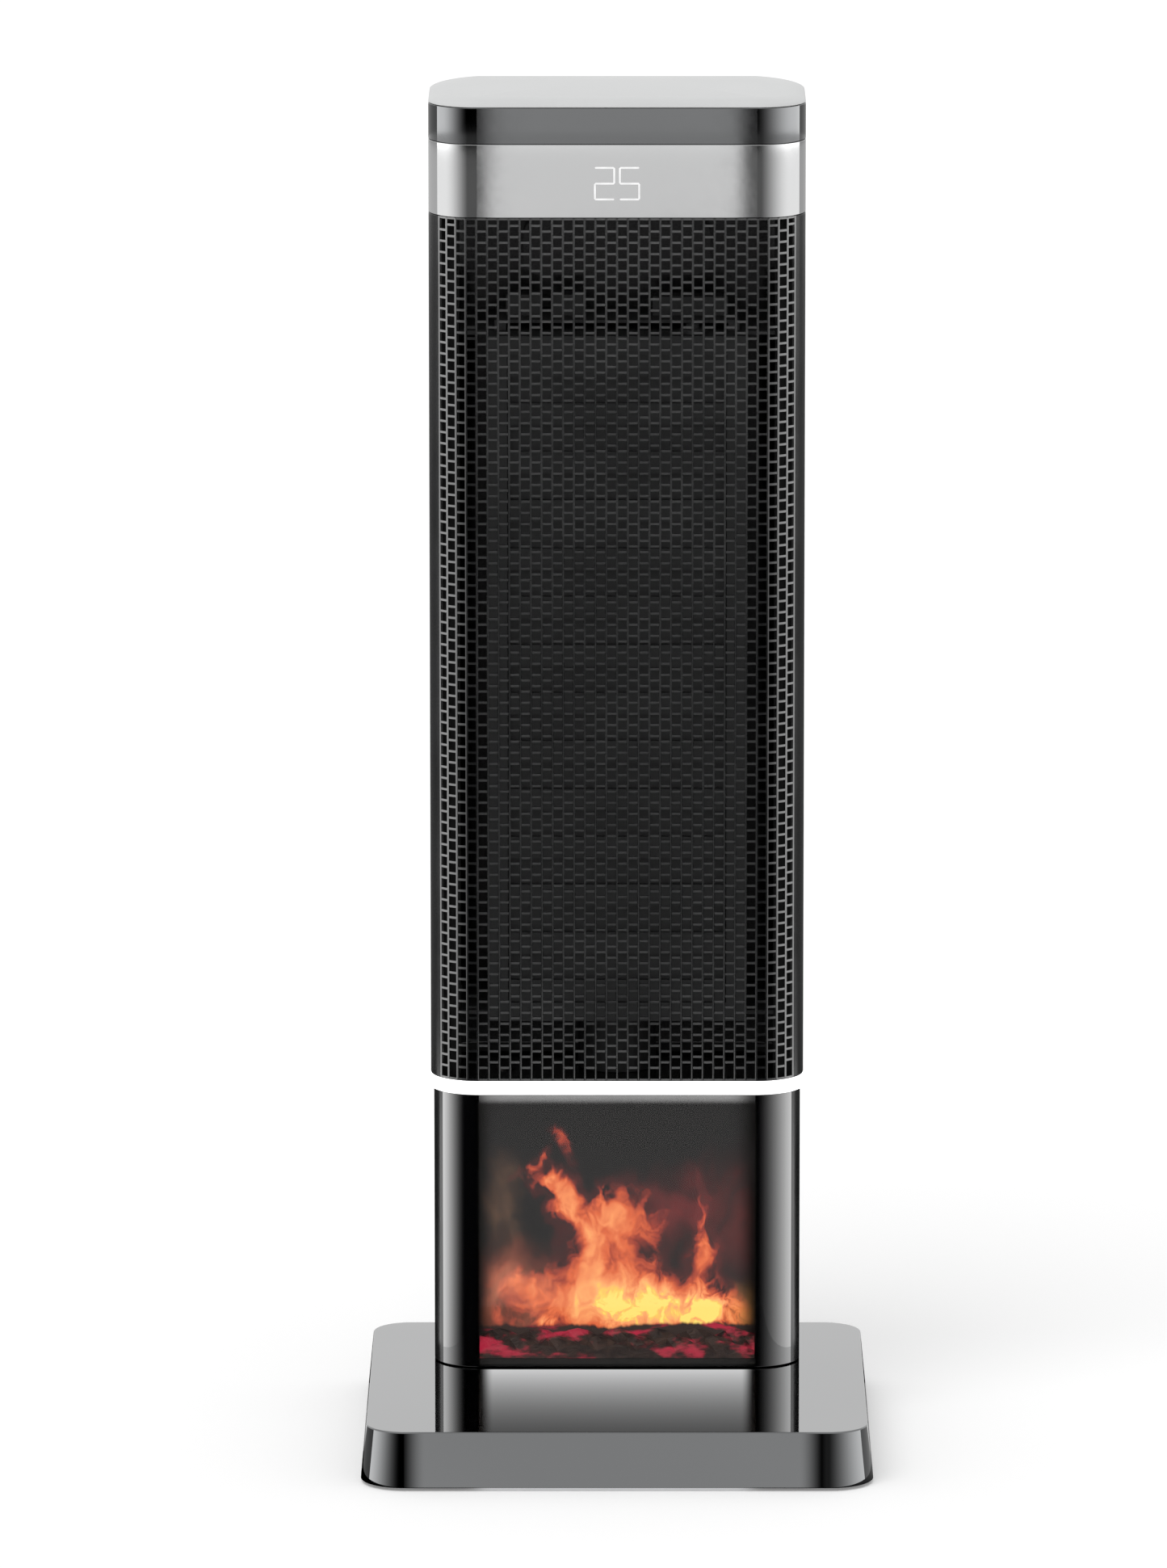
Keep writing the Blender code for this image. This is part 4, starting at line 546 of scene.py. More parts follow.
def diffuser(name):
    """Milky light guide: lit from the lamps behind it, a touch brighter at each."""
    n = Nodes(name)
    where = n.axes()
    lamp_pitch = 0.018
    lamps = n.maths("COSINE", n.times(where["X"], math.tau / lamp_pitch))
    strength = n.spread(lamps, -1.0, 1.0, 1.02, 1.12)
    n.bump(n.noise(1400, 2), 0.3, 0.00002)
    n.set(Base_Color=(0.9, 0.9, 0.9, 1), Roughness=n.spread(n.noise(40), 0.3, 0.7, 0.32, 0.46))
    return n.set(Emission_Color=(1, 1, 1, 1), Emission_Strength=strength)


def circuit_board(name):
    """Green solder mask over copper tracks, with bare pads."""
    n = Nodes(name)
    tones = {"Color1": (1, 1, 1, 1), "Color2": (0.2, 0.2, 0.2, 1), "Mortar": (0, 0, 0, 1)}
    inputs = {"Vector": n.place(), "Scale": 55.0, "Mortar Size": 0.05}
    tracks = n.add("TexBrick", inputs | tones)
    pads = n.add("TexVoronoi", {"Vector": n.place(), "Scale": 320.0}, feature="F1")
    pad = n.spread(pads.outputs["Distance"], 0.22, 0.16)
    copper = n.spread(tracks.outputs["Fac"], 0.2, 0.8)
    mask = n.blend(copper, (0.010, 0.085, 0.030, 1), (0.020, 0.170, 0.060, 1))
    n.bump(tracks.outputs["Fac"], 0.4, 0.00004)
    n.set(Base_Color=n.blend(pad, mask, (0.55, 0.52, 0.45, 1)), Metallic=pad)
    return n.set(Roughness=n.spread(n.noise(60), 0.3, 0.7, 0.28, 0.45))


MATERIALS = {made.name.split(".")[0]: made for made in (
    gloss("smoked_gloss", 0.152, 1.0, 0.018, 0.042, 0.0000004, coat=0.6),
    gloss("silver_gloss", 0.60, 1.0, 0.022, 0.045, 0.0000004, 0.004),
    smoked_glass("black_glass", 0.93),
    smoked_glass("glass_inside", 0.99),
    moulded("black_steel", 0.012, 0.10, 0.18, 1500, 0.000004, 0.03, ior=2.6),
    moulded("black_plastic", 0.011, 0.19, 0.25, 1300, 0.000012, 0.02),
    # Near-black painted shade for the column's inner parts and the bands' inner faces, standing for the dark
    # inside where little light reaches
    moulded("painted_shade_inside", 0.006, 0.55, 0.70, 1100, 0.00004),
    # Near-black painted shade for the heater, blower and board parts behind the grille, in place of their own
    # colours
    moulded("painted_shade_parts", 0.020, 0.5, 0.65, 900, 0.00006, 0.02),
    moulded("light_satin", 0.64, 0.36, 0.48, 1700, 0.000012, colour=(0.615, 0.622, 0.622), vary=0.025),
    diffuser("white_diffuser"),
    moulded("white_plastic", 0.72, 0.35, 0.5, 1200, 0.00003, colour=(0.72, 0.71, 0.68)),
    moulded("grey_plastic", 0.20, 0.4, 0.55, 1200, 0.00003),
    moulded("rubber", 0.022, 0.70, 0.88, 700, 0.00008),
    metal("zinc_steel", (0.56, 0.57, 0.59), 0.28, 0.46, (1, 1, 0.2), 300),
    metal("aluminium", (0.50, 0.50, 0.51), 0.34, 0.5, (1, 1, 0.15), 420),
    metal("brass", (0.58, 0.42, 0.17), 0.25, 0.40, (1, 1, 0.3), 350),
    circuit_board("circuit_board"),
    flame_print("flame_print"),
    ember_resin("ember_resin"),
    moulded("red_plastic", 0.4, 0.22, 0.34, 1400, 0.00002, colour=(0.42, 0.018, 0.016)),
)}
# Inner parts seen through the grille and slots are repainted near-black: painted shade for the dark inside of
# the column
REPAINTED = dict.fromkeys((
    "blower_scroll", "blower_tongue", "blower_wheel", "blower_shaft",
    "upright_left", "upright_right", "light_board", "top_deck",
), "painted_shade_inside") | dict.fromkeys((
    "heater_core", "heater_frame", "blower_lower_plate", "blower_upper_plate",
    "blower_motor", "power_board", "thermal_cutout",
), "painted_shade_parts")
for node_name, node in nodes.items():
    wanted = REPAINTED.get(node_name, node.data.materials[0].name.split(".")[0])
    for material_slot in node.material_slots:
        material_slot.material = MATERIALS[wanted]


# Pieces
def finish_piece(piece, body, slot, *replaced):
    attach(piece, body)
    if replaced:
        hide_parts(*replaced)
    return piece


def circle(radius, centre_x, centre_y, steps):
    angles = [math.tau * i / steps for i in range(steps)]
    return [(centre_x + radius * math.cos(a), centre_y + radius * math.sin(a)) for a in angles]


def make_base():
    """The flared base shell: rounded rims outside, open below, with holes for the hub and the cord gland."""
    low, high = BASE_LOW.z, BASE_HIGH.z
    flare, wall, rim, foot = 0.0028, 0.0025, 0.0008, 0.0004
    ceiling = high - wall
    profile = [(flare + wall, ceiling), (wall, low)]
    profile += lower_edge(0.0, low, foot, 3) + upper_edge(flare, high, rim, 5)
    bm = bmesh.new()
    rings = skin_loops(bm, along_profile(base_outline, profile))
    hub_opening, gland_opening = 0.0239, 0.0063
    hole = circle(hub_opening, 0.0, CENTRE_Y, 48)
    walls = skin_loops(bm, level_loops(hole, (ceiling, high)))
    for ring, edge in ((rings[0], walls[0]), (rings[-1], walls[1])):
        edges = []
        for loop in (ring, edge):
            for i in range(len(loop)):
                edges.append(bm.edges.get((loop[i], loop[(i + 1) % len(loop)])))
        bmesh.ops.triangle_fill(bm, edges=edges, use_beauty=True)
    shell = weigh_normals(new_object("base_shell", bm, MATERIALS["smoked_gloss"]))
    gland_low, gland_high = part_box("cord_gland")
    bm = bmesh.new()
    middle = (gland_low + gland_high) / 2
    place = Matrix.Translation((middle.x, BASE_HIGH.y, middle.z)) @ Matrix.Rotation(math.radians(90), 4, "X")
    sizes = {"radius1": gland_opening, "radius2": gland_opening, "depth": 0.04, "segments": 40}
    bmesh.ops.create_cone(bm, cap_ends=True, matrix=place, **sizes)
    carve(shell, new_object("gland_cutter", bm, MATERIALS["smoked_gloss"]))
    return finish_piece(shell, "base", "smoked_gloss", "base_cover")


def make_lid():
    """The lid: a soft shoulder, a slight crown and the skirt inside the top band."""
    low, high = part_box("top_lid")
    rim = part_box("top_band")[1].z + SEAM_GAP
    shoulder, ceiling, edge = 0.0105, 0.0014, 0.0003
    outside, inside = 0.0025, 0.0043
    end_fall, front_fall = 0.0038, 0.0010

    def crown(x, y):
        """The top's height: highest in the middle and falling towards the ends."""
        across, along = abs(x) / HALF_WIDTH, (y - CENTRE_Y) / HALF_DEPTH
        return high.z - end_fall * across ** 2.4 - front_fall * along ** 2

    skirt = [(inside, rim + ceiling), (inside, low.z), (outside, low.z), (outside, rim)]
    profile = skirt + [(edge, rim), (0.0, rim + edge)]
    bm = bmesh.new()
    loops = along_profile(column_outline, profile)
    for angle in quarter(12)[1:]:
        outline = column_outline(shoulder * (1 - math.cos(angle)))
        loops.append([(x, y, rim + (crown(x, y) - rim) * math.sin(angle)) for x, y in outline])
    for share in (0.9, 0.75, 0.55, 0.35, 0.15):
        ring = [(x * share, CENTRE_Y + (y - CENTRE_Y) * share) for x, y in outline]
        loops.append([(x, y, crown(x, y)) for x, y in ring])
    skin_and_cap(bm, loops)
    lid = new_object("lid_shell", bm, MATERIALS["light_satin"], 40)
    return finish_piece(lid, "column", "light_satin", "top_lid")


def face_inwards(piece, material, limit=-0.3):
    """Gives the faces on the column's inner side a material of their own."""
    piece.data.materials.append(material)
    centre = Vector((0, CENTRE_Y, 0))
    for face in piece.data.polygons:
        outwards = face.center - centre
        outwards.z = 0
        if face.normal.dot(outwards.normalized()) < limit:
            face.material_index = 1


def make_bands():
    for name, node_name, slot, wall, edge in (
        ("top_band_shell", "top_band", "smoked_gloss", WALL, 0.00025),
        ("display_band_shell", "display_band", "silver_gloss", WALL, 0.00025),
        ("light_ring_guide", "light_ring", "white_diffuser", 0.004, 0.0002),
    ):
        low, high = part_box(node_name)
        profile = rounded_profile(0.0, wall, low.z, high.z, edge)
        ring = ring_piece(name, column_outline, profile, MATERIALS[slot])
        finish_piece(ring, "column", slot, node_name)
        # The inner faces are painted near-black: painted shade inside the column
        face_inwards(ring, MATERIALS["painted_shade_inside"], 0.2)


def lower_profile(node_name):
    low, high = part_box(node_name)
    return rounded_profile(LOWER_INSET, LOWER_INSET + LOWER_WALL, low.z - FOOT_DROP, high.z, WALL_EDGE)


def make_window():
    profile = lower_profile("flame_window")
    window = wall_piece("flame_glass", front_points, profile, MATERIALS["black_glass"])
    face_inwards(window, MATERIALS["glass_inside"])
    return finish_piece(window, "column", "black_glass", "flame_window")


# The depths that a cutter spans to pass through the rear wall
THROUGH_REAR = (REAR_Y - 0.006, REAR_Y + 0.004)


def make_rear_covers():
    """The two rear walls with their slots, the cup's opening and the switch's cut-out."""
    low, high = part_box("rear_cover")
    profile = rounded_profile(0.0, WALL, low.z, high.z, WALL_EDGE)
    cover = wall_piece("rear_shell", rear_points, profile, MATERIALS["black_plastic"])
    bm = bmesh.new()
    first, last, rows = 0.2363, 0.5770, 14
    from_middle, width, height = 0.034, 0.056, 0.0045
    for side in (-1, 1):
        for row in range(rows):
            z = first + (last - first) * row / (rows - 1)
            slot_into(bm, side * from_middle, z, width, height)
    cup_low, cup_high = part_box("handle_cup")
    half_width, half_height, radius = 0.0503, 0.0153, 0.0083
    opening = rounded_outline(half_width, half_height, radius, (cup_low.z + cup_high.z) / 2)
    skin_and_cap(bm, upright_loops(opening, THROUGH_REAR))
    carve(cover, new_object("rear_cutter", bm, MATERIALS["black_plastic"]))
    finish_piece(cover, "column", "black_plastic", "rear_cover")
    profile = lower_profile("lower_rear_cover")
    cover = wall_piece("lower_rear_shell", rear_points, profile, MATERIALS["black_plastic"])
    bm = bmesh.new()
    left, right, foot, top = -0.0592, -0.0448, 0.0678, 0.0876
    box_into(bm, (left, REAR_Y - 0.008, foot), (right, REAR_Y + 0.002, top))
    carve(cover, new_object("switch_cutter", bm, MATERIALS["black_plastic"]))
    finish_piece(cover, "column", "black_plastic", "lower_rear_cover")


def make_filter():
    """A pleated dust filter against the rear cover's inner face, behind its slots."""
    half_width, pleats, depth, thickness = 0.063, 84, 0.0006, 0.0005
    foot, top = 0.228, 0.586
    rear = REAR_Y - WALL - 0.0001
    steps = 2 * pleats
    line = [(-half_width + 2 * half_width * i / steps, rear - depth * (i % 2)) for i in range(steps + 1)]
    loop = line + [(x, y - thickness) for x, y in reversed(line)]
    bm = bmesh.new()
    skin_and_cap(bm, level_loops(loop, (foot, top)))
    felt = moulded("filter_felt", 0.003, 0.85, 0.98, 2600, 0.00008)
    return finish_piece(new_object("intake_filter", bm, felt, 20), "column", "black_plastic")


def slot_into(bm, x, z, width, height):
    """A cutter for one round-ended slot through the rear wall."""
    radius, steps = height / 2, 6
    points = []
    for side in (1, -1):
        for i in range(steps + 1):
            angle = math.radians(-90 + 180 * i / steps)
            out = width / 2 - radius + radius * math.cos(angle)
            points.append((x + side * out, z + side * radius * math.sin(angle)))
    skin_and_cap(bm, upright_loops(points, THROUGH_REAR))


HALF_FLAT = HALF_WIDTH - CORNER_RADIUS
HALF_LENGTH = HALF_FLAT + CORNER_RADIUS * math.radians(SEAM_ANGLE)


def front_spot(along, depth):
    """The (x, y) at a distance along the front's outer face, from its middle, and a depth in from it."""
    side = 1 if along >= 0 else -1
    over = abs(along) - HALF_FLAT
    if over <= 0:
        return (along, FRONT_Y + depth)
    angle = over / CORNER_RADIUS
    reach = CORNER_RADIUS - depth
    return (side * (HALF_FLAT + reach * math.sin(angle)), FRONT_Y + CORNER_RADIUS - reach * math.cos(angle))


GRILLE_COLUMNS = 34
GRILLE_ROWS = 77
BAR = 0.0012
BAR_DEPTH = 0.0014
BAR_SOFTNESS = 0.00004
BAR_END_GAP = 0.0002
RUNG_SETBACK = 0.00008


def make_grille():
    """The fine brick-pattern mesh: upright bars from top to bottom, short rungs between them, a plain rim."""
    low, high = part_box("front_grille")
    rim = 0.0010
    half = HALF_LENGTH - SEAM_GAP / 2
    left, right = -half + rim, half - rim
    bottom, top = low.z + rim, high.z - rim
    pitch = (right - left) / GRILLE_COLUMNS
    bm = bmesh.new()

    def upright(middle, width, z_low, z_high):
        """A punched bar: a flat front whose edges fall away a little."""
        half = [(0.5, BAR_DEPTH), (0.5, BAR_SOFTNESS), (0.34, 0.0)]
        shape = [(-share, depth) for share, depth in half] + half[::-1]
        loop = [front_spot(middle + share * width, depth) for share, depth in shape]
        skin_and_cap(bm, level_loops(loop, (z_low, z_high)))

    def rung(start, end, middle, height):
        """A short bar from start to end, set back a little from the upright ones."""
        shape = [(-0.5, BAR_DEPTH), (-0.5, RUNG_SETBACK), (0.5, RUNG_SETBACK), (0.5, BAR_DEPTH)]
        loops = []
        for i in range(3):
            along = start + (end - start) * i / 2
            loops.append([(*front_spot(along, depth), middle + share * height) for share, depth in shape])
        skin_and_cap(bm, loops)

    for column in range(GRILLE_COLUMNS + 1):
        middle = left + pitch * column
        if column in (0, GRILLE_COLUMNS):
            side = -1 if column == 0 else 1
            upright(middle + side * (rim - BAR / 2) / 2, rim + BAR / 2, low.z, high.z)
        else:
            upright(middle, BAR, low.z + BAR_END_GAP, high.z - BAR_END_GAP)
    step = (top - bottom) / GRILLE_ROWS
    for column in range(GRILLE_COLUMNS):
        start = left + pitch * column + BAR * 0.35
        end = left + pitch * (column + 1) - BAR * 0.35
        shift = 0.5 * (column % 2)
        for row in range(1, GRILLE_ROWS):
            rung(start, end, bottom + step * (row + shift), BAR)
        rung(start, end, low.z + rim / 2, rim)
        rung(start, end, high.z - rim / 2, rim)
    grille = new_object("fine_grille", bm, MATERIALS["black_steel"], 60)
    return finish_piece(grille, "column", "black_steel", "front_grille")


SEGMENTS = {"2": "abged", "5": "afgcd"}
# The ends of each stroke of a seven-segment digit, in shares of the digit's half width and half height
STROKES = {
    "a": ((-1, 1), (1, 1)),
    "b": ((1, 1), (1, 0)),
    "c": ((1, 0), (1, -1)),
    "d": ((-1, -1), (1, -1)),
    "e": ((-1, 0), (-1, -1)),
    "f": ((-1, 1), (-1, 0)),
    "g": ((-1, 0), (1, 0)),
}


def make_digits():
    """The temperature shown through the band: thin lit strokes on its face."""
    text = "25"
    middle_z, half_w, half_h, gap, stroke = 0.6742, 0.0051, 0.0084, 0.0030, 0.00095
    behind, ahead = FRONT_Y + 0.0005, FRONT_Y - 0.00008
    bm = bmesh.new()
    pitch = 2 * half_w + gap
    for index, digit in enumerate(text):
        centre_x = (index - (len(text) - 1) / 2) * pitch
        for letter in SEGMENTS[digit]:
            start, end = (Vector((centre_x + x * half_w, middle_z + z * half_h)) for x, z in STROKES[letter])
            along = (end - start).normalized()
            across = Vector((-along.y, along.x)) * stroke / 2
            start, end = start + along * stroke * 0.35, end - along * stroke * 0.35
            tip = along * stroke / 2
            outline = [start - tip, start - across, end - across, end + tip, end + across, start + across]
            skin_and_cap(bm, upright_loops(outline, (behind, ahead)))
    n = Nodes("digit_glow")
    n.set(Base_Color=(0.3, 0.3, 0.3, 1), Roughness=n.spread(n.noise(300), 0.3, 0.7, 0.35, 0.5))
    n.set(Emission_Color=(1, 1, 1, 1), Emission_Strength=n.spread(n.noise(180), 0.3, 0.7, 0.60, 0.72))
    digits = new_object("display_digits", bm, n.material, 30)
    return finish_piece(digits, "column", "white_diffuser")


def screw_into(bm, x, y, z, direction):
    """A pan-head screw with a cross recess. Its head faces along direction."""
    facing = Vector(direction).to_track_quat("Z", "Y").to_matrix().to_4x4()
    place = Matrix.Translation((x, y, z)) @ facing
    radius, steps, recess = 0.0030, 24, 0.0004
    loops = []
    for share, height in ((1.0, -0.0006), (1.0, 0.0002), (0.92, 0.0008), (0.70, 0.0013), (0.42, 0.0015)):
        loops.append([place @ Vector((px, py, height)) for px, py in circle(radius * share, 0.0, 0.0, steps)])
    rings = skin_loops(bm, loops)
    bm.faces.new(rings[0])
    cross = []
    for i, (px, py) in enumerate(circle(radius, 0.0, 0.0, steps)):
        reach = 0.30 if i % 6 == 0 else 0.10
        cross.append(bm.verts.new(place @ Vector((px * reach, py * reach, recess))))
    for i in range(steps):
        j = (i + 1) % steps
        bm.faces.new((rings[-1][i], rings[-1][j], cross[j], cross[i]))
    bm.faces.new(cross)


def make_screws():
    rear_face = REAR_Y + 0.0001
    lower_face = rear_face - LOWER_INSET
    side, rear_heights, lower_heights = 0.0697, (0.202, 0.425, 0.643), (0.048, 0.168)
    bm = bmesh.new()
    for x in (-side, side):
        for face, heights in ((rear_face, rear_heights), (lower_face, lower_heights)):
            for z in heights:
                screw_into(bm, x, face, z, (0, 1, 0))
    screws = new_object("rear_screws", bm, MATERIALS["zinc_steel"], 30)
    finish_piece(screws, "column", "zinc_steel")
    bm = bmesh.new()
    from_edge, under = 0.014, 0.0019
    for x in (-1, 1):
        for y in (-1, 1):
            place = (x * (BASE_HIGH.x - from_edge), y * (BASE_HIGH.y - from_edge), under)
            screw_into(bm, *place, (0, 0, -1))
    screws = new_object("base_screws", bm, MATERIALS["zinc_steel"], 30)
    finish_piece(screws, "base", "zinc_steel")


make_base()
make_lid()
make_bands()
make_window()
make_rear_covers()
make_filter()
make_grille()
make_digits()
make_screws()


# Stage
def only_seen_in_gloss(obj):
    for ray in ("camera", "diffuse", "shadow", "transmission", "volume_scatter"):
        setattr(obj, f"visible_{ray}", False)


def stage_plane(name, size, z):
    bm = bmesh.new()
    bmesh.ops.create_grid(bm, x_segments=1, y_segments=1, size=size / 2, matrix=Matrix.Translation((0, 0, z)))
    mesh = bpy.data.meshes.new(name)
    bm.to_mesh(mesh)
    bm.free()
    obj = placed(name, mesh)
    return obj


def seen_itself(n):
    """1 where the lens, gloss or glass sees the surface itself, and 0 for the light that it gives."""
    path = n.add("LightPath")
    seen = n.maths("MAXIMUM", path.outputs["Is Camera Ray"], path.outputs["Is Glossy Ray"])
    return n.maths("MAXIMUM", seen, path.outputs["Is Transmission Ray"])


def make_floor():
    """A white floor that keeps its shadows and shows white where lens, gloss or glass sees it."""
    floor = stage_plane("floor", 120, -0.0002)
    n = Nodes("floor_white")
    whitening = 0.215
    glow = {"Color": (1, 1, 1, 1), "Strength": n.times(seen_itself(n), whitening)}
    diffuse = n.add("BsdfDiffuse", {"Color": (0.85, 0.85, 0.85, 1)})
    glow = n.add("Emission", glow)
    both = n.add("AddShader", {0: diffuse.outputs[0], 1: glow.outputs[0]})
    n.put(n.output.inputs["Surface"], both.outputs[0])
    floor.data.materials.append(n.material)


# A studio light's sweep round each front corner, in degrees from straight ahead: where it starts, where it is
# full, how bright that is, where it ends, and how bright it is beyond that. Left corner, then right corner
TOP_SWEEPS = ((23, 90, 2.75, 109, 0.3), (-5, 92, 2.6, 120, 0.3))
SILVER_SWEEPS = ((3, 82, 1.22, 109, 0.6), (-14, 85, 1.22, 120, 0.5))
MESH_SWEEPS = ((15, 75, 1.27, 109, 0.12), (15, 75, 1.27, 109, 0.12))
FLAME_SWEEPS = ((36, 116, 2.2, 121, 0.006), (4, 135, 2.15, 121, 0.006))
BASE_SWEEPS = ((9, 80, 2.5, 82, 0.2), (-12, 80, 2.4, 82, 0.4))
SOFTNESS = 1.2
# The mirrored heights at which the card's rings for the mesh, the silver band and the top band start
MESH_START, SILVER_START, TOP_START = 0.187, 0.640, 0.6965
# Below the first height the card is even, at the second value
NEAR_END, NEAR_LEVEL = 0.020, 0.27
# The lens: its height, its distance before the front and its tilt down in degrees
EYE_HEIGHT = 1.577
EYE_DISTANCE = 6.378
EYE_TILT = 11.29
# Turns below which a point counts as in front of the object, of 0 in front and 1 behind
IN_FRONT = 0.2


def pick(n, switch, low, high):
    """low where the switch is 0 and high where it is 1."""
    return n.maths("MULTIPLY_ADD", n.minus(high, low), switch, low)


def swept(n, turn, right, sweeps):
    """The light's level at a turn round the corner. right is 1 on the right side and 0 on the left."""
    sides = []
    for start, full, peak, edge, beyond in sweeps:
        rise = n.maths("POWER", n.spread(turn, start / 180, full / 180), SOFTNESS)
        past = n.maths("GREATER_THAN", turn, edge / 180)
        sides.append(pick(n, past, n.times(rise, peak), beyond))
    return pick(n, right, *sides)


def corner_turn(n, where, corner_x, corner_y):
    """How far round the nearer corner a point lies, 0 in front and 1 behind, and how far from its centre."""
    sideways = n.minus(n.maths("ABSOLUTE", where["X"]), corner_x)
    sideways = n.maths("MAXIMUM", sideways, 0.0)
    forward = n.minus(corner_y, where["Y"])
    turn = n.maths("DIVIDE", n.maths("ARCTAN2", sideways, forward), math.pi)
    squares = n.maths("MULTIPLY_ADD", sideways, sideways, n.times(forward, forward))
    return turn, n.maths("SQRT", squares)


def column_reach(n, where):
    """The turn round the column's corner, the distance out from where its wall mirrors, and the share of the
    right side's light."""
    turn, away = corner_turn(n, where, HALF_FLAT, FRONT_Y + CORNER_RADIUS)
    wall = n.times(n.maths("COSINE", n.times(turn, math.pi / 2)), CORNER_RADIUS)
    return turn, n.minus(away, wall), n.spread(where["X"], -0.06, 0.06)


def front_share(n, where, turn, reach, right, full=0.0655):
    """How far across the flat front the lens sees this point mirrored, and the share of the white front light
    there, which is full within a half width. On the right side it ends a little nearer the middle."""
    end, right_shift, peak = 0.0775, 0.003, 1.06
    widening = n.maths("MULTIPLY_ADD", reach, 1 / EYE_DISTANCE, 1.0)
    across = n.maths("DIVIDE", n.maths("ABSOLUTE", where["X"]), widening)
    across = n.maths("MULTIPLY_ADD", right, right_shift, across)
    light = n.spread(across, end, full, 0.0, peak)
    return across, n.times(light, n.maths("LESS_THAN", turn, IN_FRONT))


def glowing(n, strength, only_when=None):
    glow = n.add("Emission", {"Color": (1, 1, 1, 1), "Strength": strength}).outputs[0]
    if only_when is not None:
        clear = n.add("BsdfTransparent").outputs[0]
        glow = n.add("MixShader", {0: only_when, 1: clear, 2: glow}).outputs[0]
    n.put(n.output.inputs["Surface"], glow)
    return n.material


def make_card():
    """A card on the floor round the object, seen only in gloss: white in front, dark beside the front, bright
    to each side. A ray that a wall mirrors lands further out the higher it starts, so rings of the card serve
    the column's bands."""
    card = stage_plane("reflector_card", 14, 0.0006)
    n = Nodes("reflector_card")
    where = n.axes()
    turn, reach, right = column_reach(n, where)
    across, front = front_share(n, where, turn, reach, right)
    height = n.maths("DIVIDE", n.times(reach, EYE_HEIGHT), n.maths("ADD", reach, EYE_DISTANCE))
    high_full, dim_until, brighter_from = 0.0680, 0.032, 0.052
    high_front = front_share(n, where, turn, reach, right, high_full)[1]
    mesh_front = n.times(front, n.spread(across, dim_until, brighter_from, 0.06, 0.37))
    level = n.maths("MAXIMUM", swept(n, turn, right, FLAME_SWEEPS), n.times(front, 0.98))
    silver_front = n.maths("MAXIMUM", n.times(high_front, 0.88), 0.13)
    for sweeps, ahead, start in (
        (MESH_SWEEPS, mesh_front, MESH_START),
        (SILVER_SWEEPS, silver_front, SILVER_START),
        (TOP_SWEEPS, high_front, TOP_START),
    ):
        ring = n.maths("MAXIMUM", swept(n, turn, right, sweeps), ahead)
        level = pick(n, n.maths("GREATER_THAN", height, start), level, ring)
    level = pick(n, n.maths("LESS_THAN", height, NEAR_END), level, NEAR_LEVEL)
    card.data.materials.append(glowing(n, level))
    only_seen_in_gloss(card)


def upright_card(name, outline, low, high, material):
    bm = bmesh.new()
    skin_loops(bm, level_loops(outline, (low, high)))
    card = new_object(name, bm, material)
    only_seen_in_gloss(card)


def make_fence():
    """A low upright card round the base, seen only in the gloss of the base's sides: dark in a stripe beside
    the front, and clear for a ray that comes from further away."""
    gap, low, high, reach = 0.020, 0.0008, 0.0315, 0.050
    right_shift, front_fade, peak = 0.0052, (0.1141, 0.1011), 1.12
    dip_start, dip_end, dip_depth = (0.105, 0.1112), (0.1163, 0.1132), 0.8
    n = Nodes("reflector_fence")
    where = n.axes()
    turn = corner_turn(n, where, BASE_HIGH.x - BASE_RADIUS, BASE_RADIUS - BASE_HIGH.y)[0]
    right = n.spread(where["X"], -0.09, 0.09)
    across = n.maths("MULTIPLY_ADD", right, right_shift, n.maths("ABSOLUTE", where["X"]))
    light = n.spread(across, *front_fade, 0.0, peak)
    front = n.times(light, n.maths("LESS_THAN", turn, IN_FRONT))
    dip = n.times(n.spread(across, *dip_start), n.spread(across, *dip_end))
    dip = n.times(dip, n.maths("LESS_THAN", turn, 0.5))
    near = n.maths("LESS_THAN", n.ray("Ray Length"), reach)
    undimmed = n.minus(1.0, n.times(dip, dip_depth))
    level = n.times(swept(n, turn, right, BASE_SWEEPS), undimmed)
    outline = rounded_outline(BASE_HIGH.x + gap, BASE_HIGH.y + gap, BASE_RADIUS + gap)
    lit = glowing(n, n.maths("MAXIMUM", level, front), near)
    upright_card("reflector_fence", outline, low, high, lit)


def make_ring():
    """A wide upright card that only light mirrored twice can see. It carries the column's stripes on into the
    base's top."""
    gap, low, high, brighter = 1.2, 0.02, 0.7, 1.4
    n = Nodes("reflector_ring")
    where = n.axes()
    turn, reach, right = column_reach(n, where)
    front = front_share(n, where, turn, reach, right)[1]
    twice = n.maths("GREATER_THAN", n.ray("Glossy Depth"), 1.5)
    level = n.maths("MAXIMUM", swept(n, turn, right, FLAME_SWEEPS), n.times(front, 0.6))
    level = n.times(level, brighter)
    outline = rounded_outline(HALF_WIDTH + gap, HALF_DEPTH + gap, CORNER_RADIUS + gap, CENTRE_Y, 60)
    upright_card("reflector_ring", outline, low, high, glowing(n, level, twice))


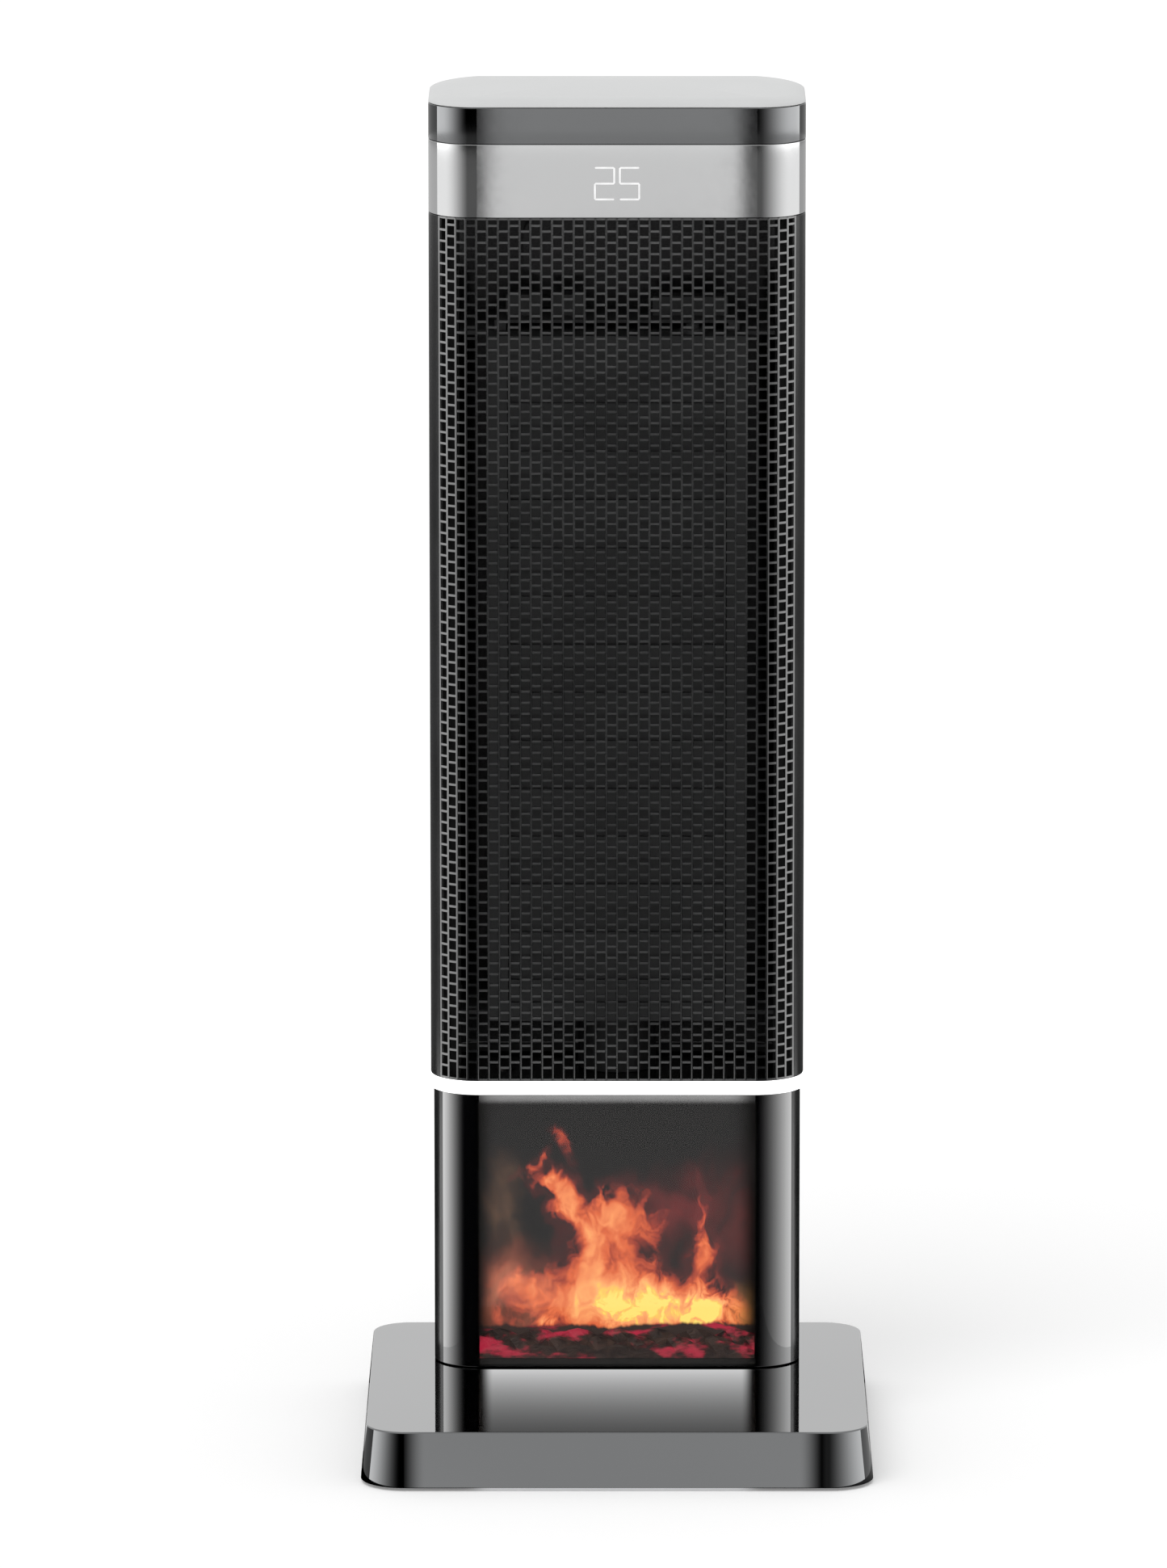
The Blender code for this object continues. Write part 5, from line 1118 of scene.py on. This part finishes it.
def make_foot_card():
    """A card before the flame window that only the base's top mirrors, fading upwards from the foot. Clear
    upright baffles in line with the lens, closer together at the foot, put it out for a ray that comes in
    from the side. The flames themselves aren't mirrored."""
    half_width, depth, fade, peak = 0.074, 0.004, 57, 1.2
    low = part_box("flame_window")[0].z
    n = Nodes("reflector_foot")
    where = n.axes()
    up = n.minus(where["Z"], low)
    level = n.times(n.maths("EXPONENT", n.times(up, -fade)), peak)
    before = n.minus(1.0, n.add("NewGeometry").outputs["Backfacing"])
    edge = n.spread(n.maths("ABSOLUTE", where["X"]), 0.0735, 0.0665)
    ahead = n.maths("LESS_THAN", n.ray("Transparent Depth"), 0.5)
    material = glowing(n, level, n.times(n.times(before, edge), ahead))
    baffle = Nodes("reflector_baffles")
    baffle.put(baffle.output.inputs["Surface"], baffle.add("BsdfTransparent").outputs[0])
    y = FRONT_Y + LOWER_INSET - 0.0006
    near_y = y - depth
    baffle_foot, card_foot, top = low - 0.0014, low - 0.0009, low + 0.06
    left, right = (-half_width, y), (half_width, y)
    quads = [((*left, card_foot), (*right, card_foot), (*right, top), (*left, top))]
    for spacing, high in ((0.002, top), (0.0005, low + 0.0006)):
        pairs = round(half_width / spacing)
        for i in range(-pairs, pairs + 1):
            x = spacing * i
            near_x = x * (1 - depth / EYE_DISTANCE)
            far, near = (x, y), (near_x, near_y)
            quads.append(((*far, baffle_foot), (*near, baffle_foot), (*near, high), (*far, high)))
    points = [point for quad in quads for point in quad]
    mesh = bpy.data.meshes.new("reflector_foot")
    mesh.from_pydata(points, [], [range(i, i + 4) for i in range(0, len(points), 4)])
    mesh.materials.append(material)
    mesh.materials.append(baffle.material)
    for face in mesh.polygons[1:]:
        face.material_index = 1
    card = placed("reflector_foot", mesh)
    only_seen_in_gloss(card)
    for hidden in ("flame_screen", "ember_bed", "flame_spindle"):
        nodes[hidden].visible_glossy = False


def make_world():
    world = bpy.data.worlds.new("studio")
    bpy.context.scene.world = world
    n = Nodes("studio", world)
    background = n.tree.nodes["Background"]
    n.put(background.inputs["Color"], (1, 1, 1, 1))
    given, shown = 0.74, 1.0
    n.put(background.inputs["Strength"], n.spread(seen_itself(n), 0.0, 1.0, given, shown, smooth=False))


def make_lamp():
    lamp = bpy.data.lights.new("soft_key", "SUN")
    lamp.energy = 0.95
    lamp.angle = math.radians(40)
    obj = placed("soft_key", lamp)
    obj.rotation_mode = "QUATERNION"
    obj.rotation_quaternion = Vector((0.28, 0.48, -0.83)).to_track_quat("-Z", "Y")
    obj.visible_glossy = False


def make_camera():
    camera = bpy.data.cameras.new("camera")
    camera.lens = 279.8
    camera.sensor_width = 36
    camera.shift_x = -0.0214
    camera.shift_y = 0.0562
    camera.clip_start = 0.1
    camera.clip_end = 200
    obj = placed("camera", camera)
    obj.location = (0, FRONT_Y - EYE_DISTANCE, EYE_HEIGHT)
    obj.rotation_euler = (math.radians(90 - EYE_TILT), 0, 0)
    bpy.context.scene.camera = obj


make_floor()
make_card()
make_fence()
make_ring()
make_foot_card()
make_world()
make_lamp()
make_camera()
bpy.context.scene.view_settings.view_transform = "Standard"
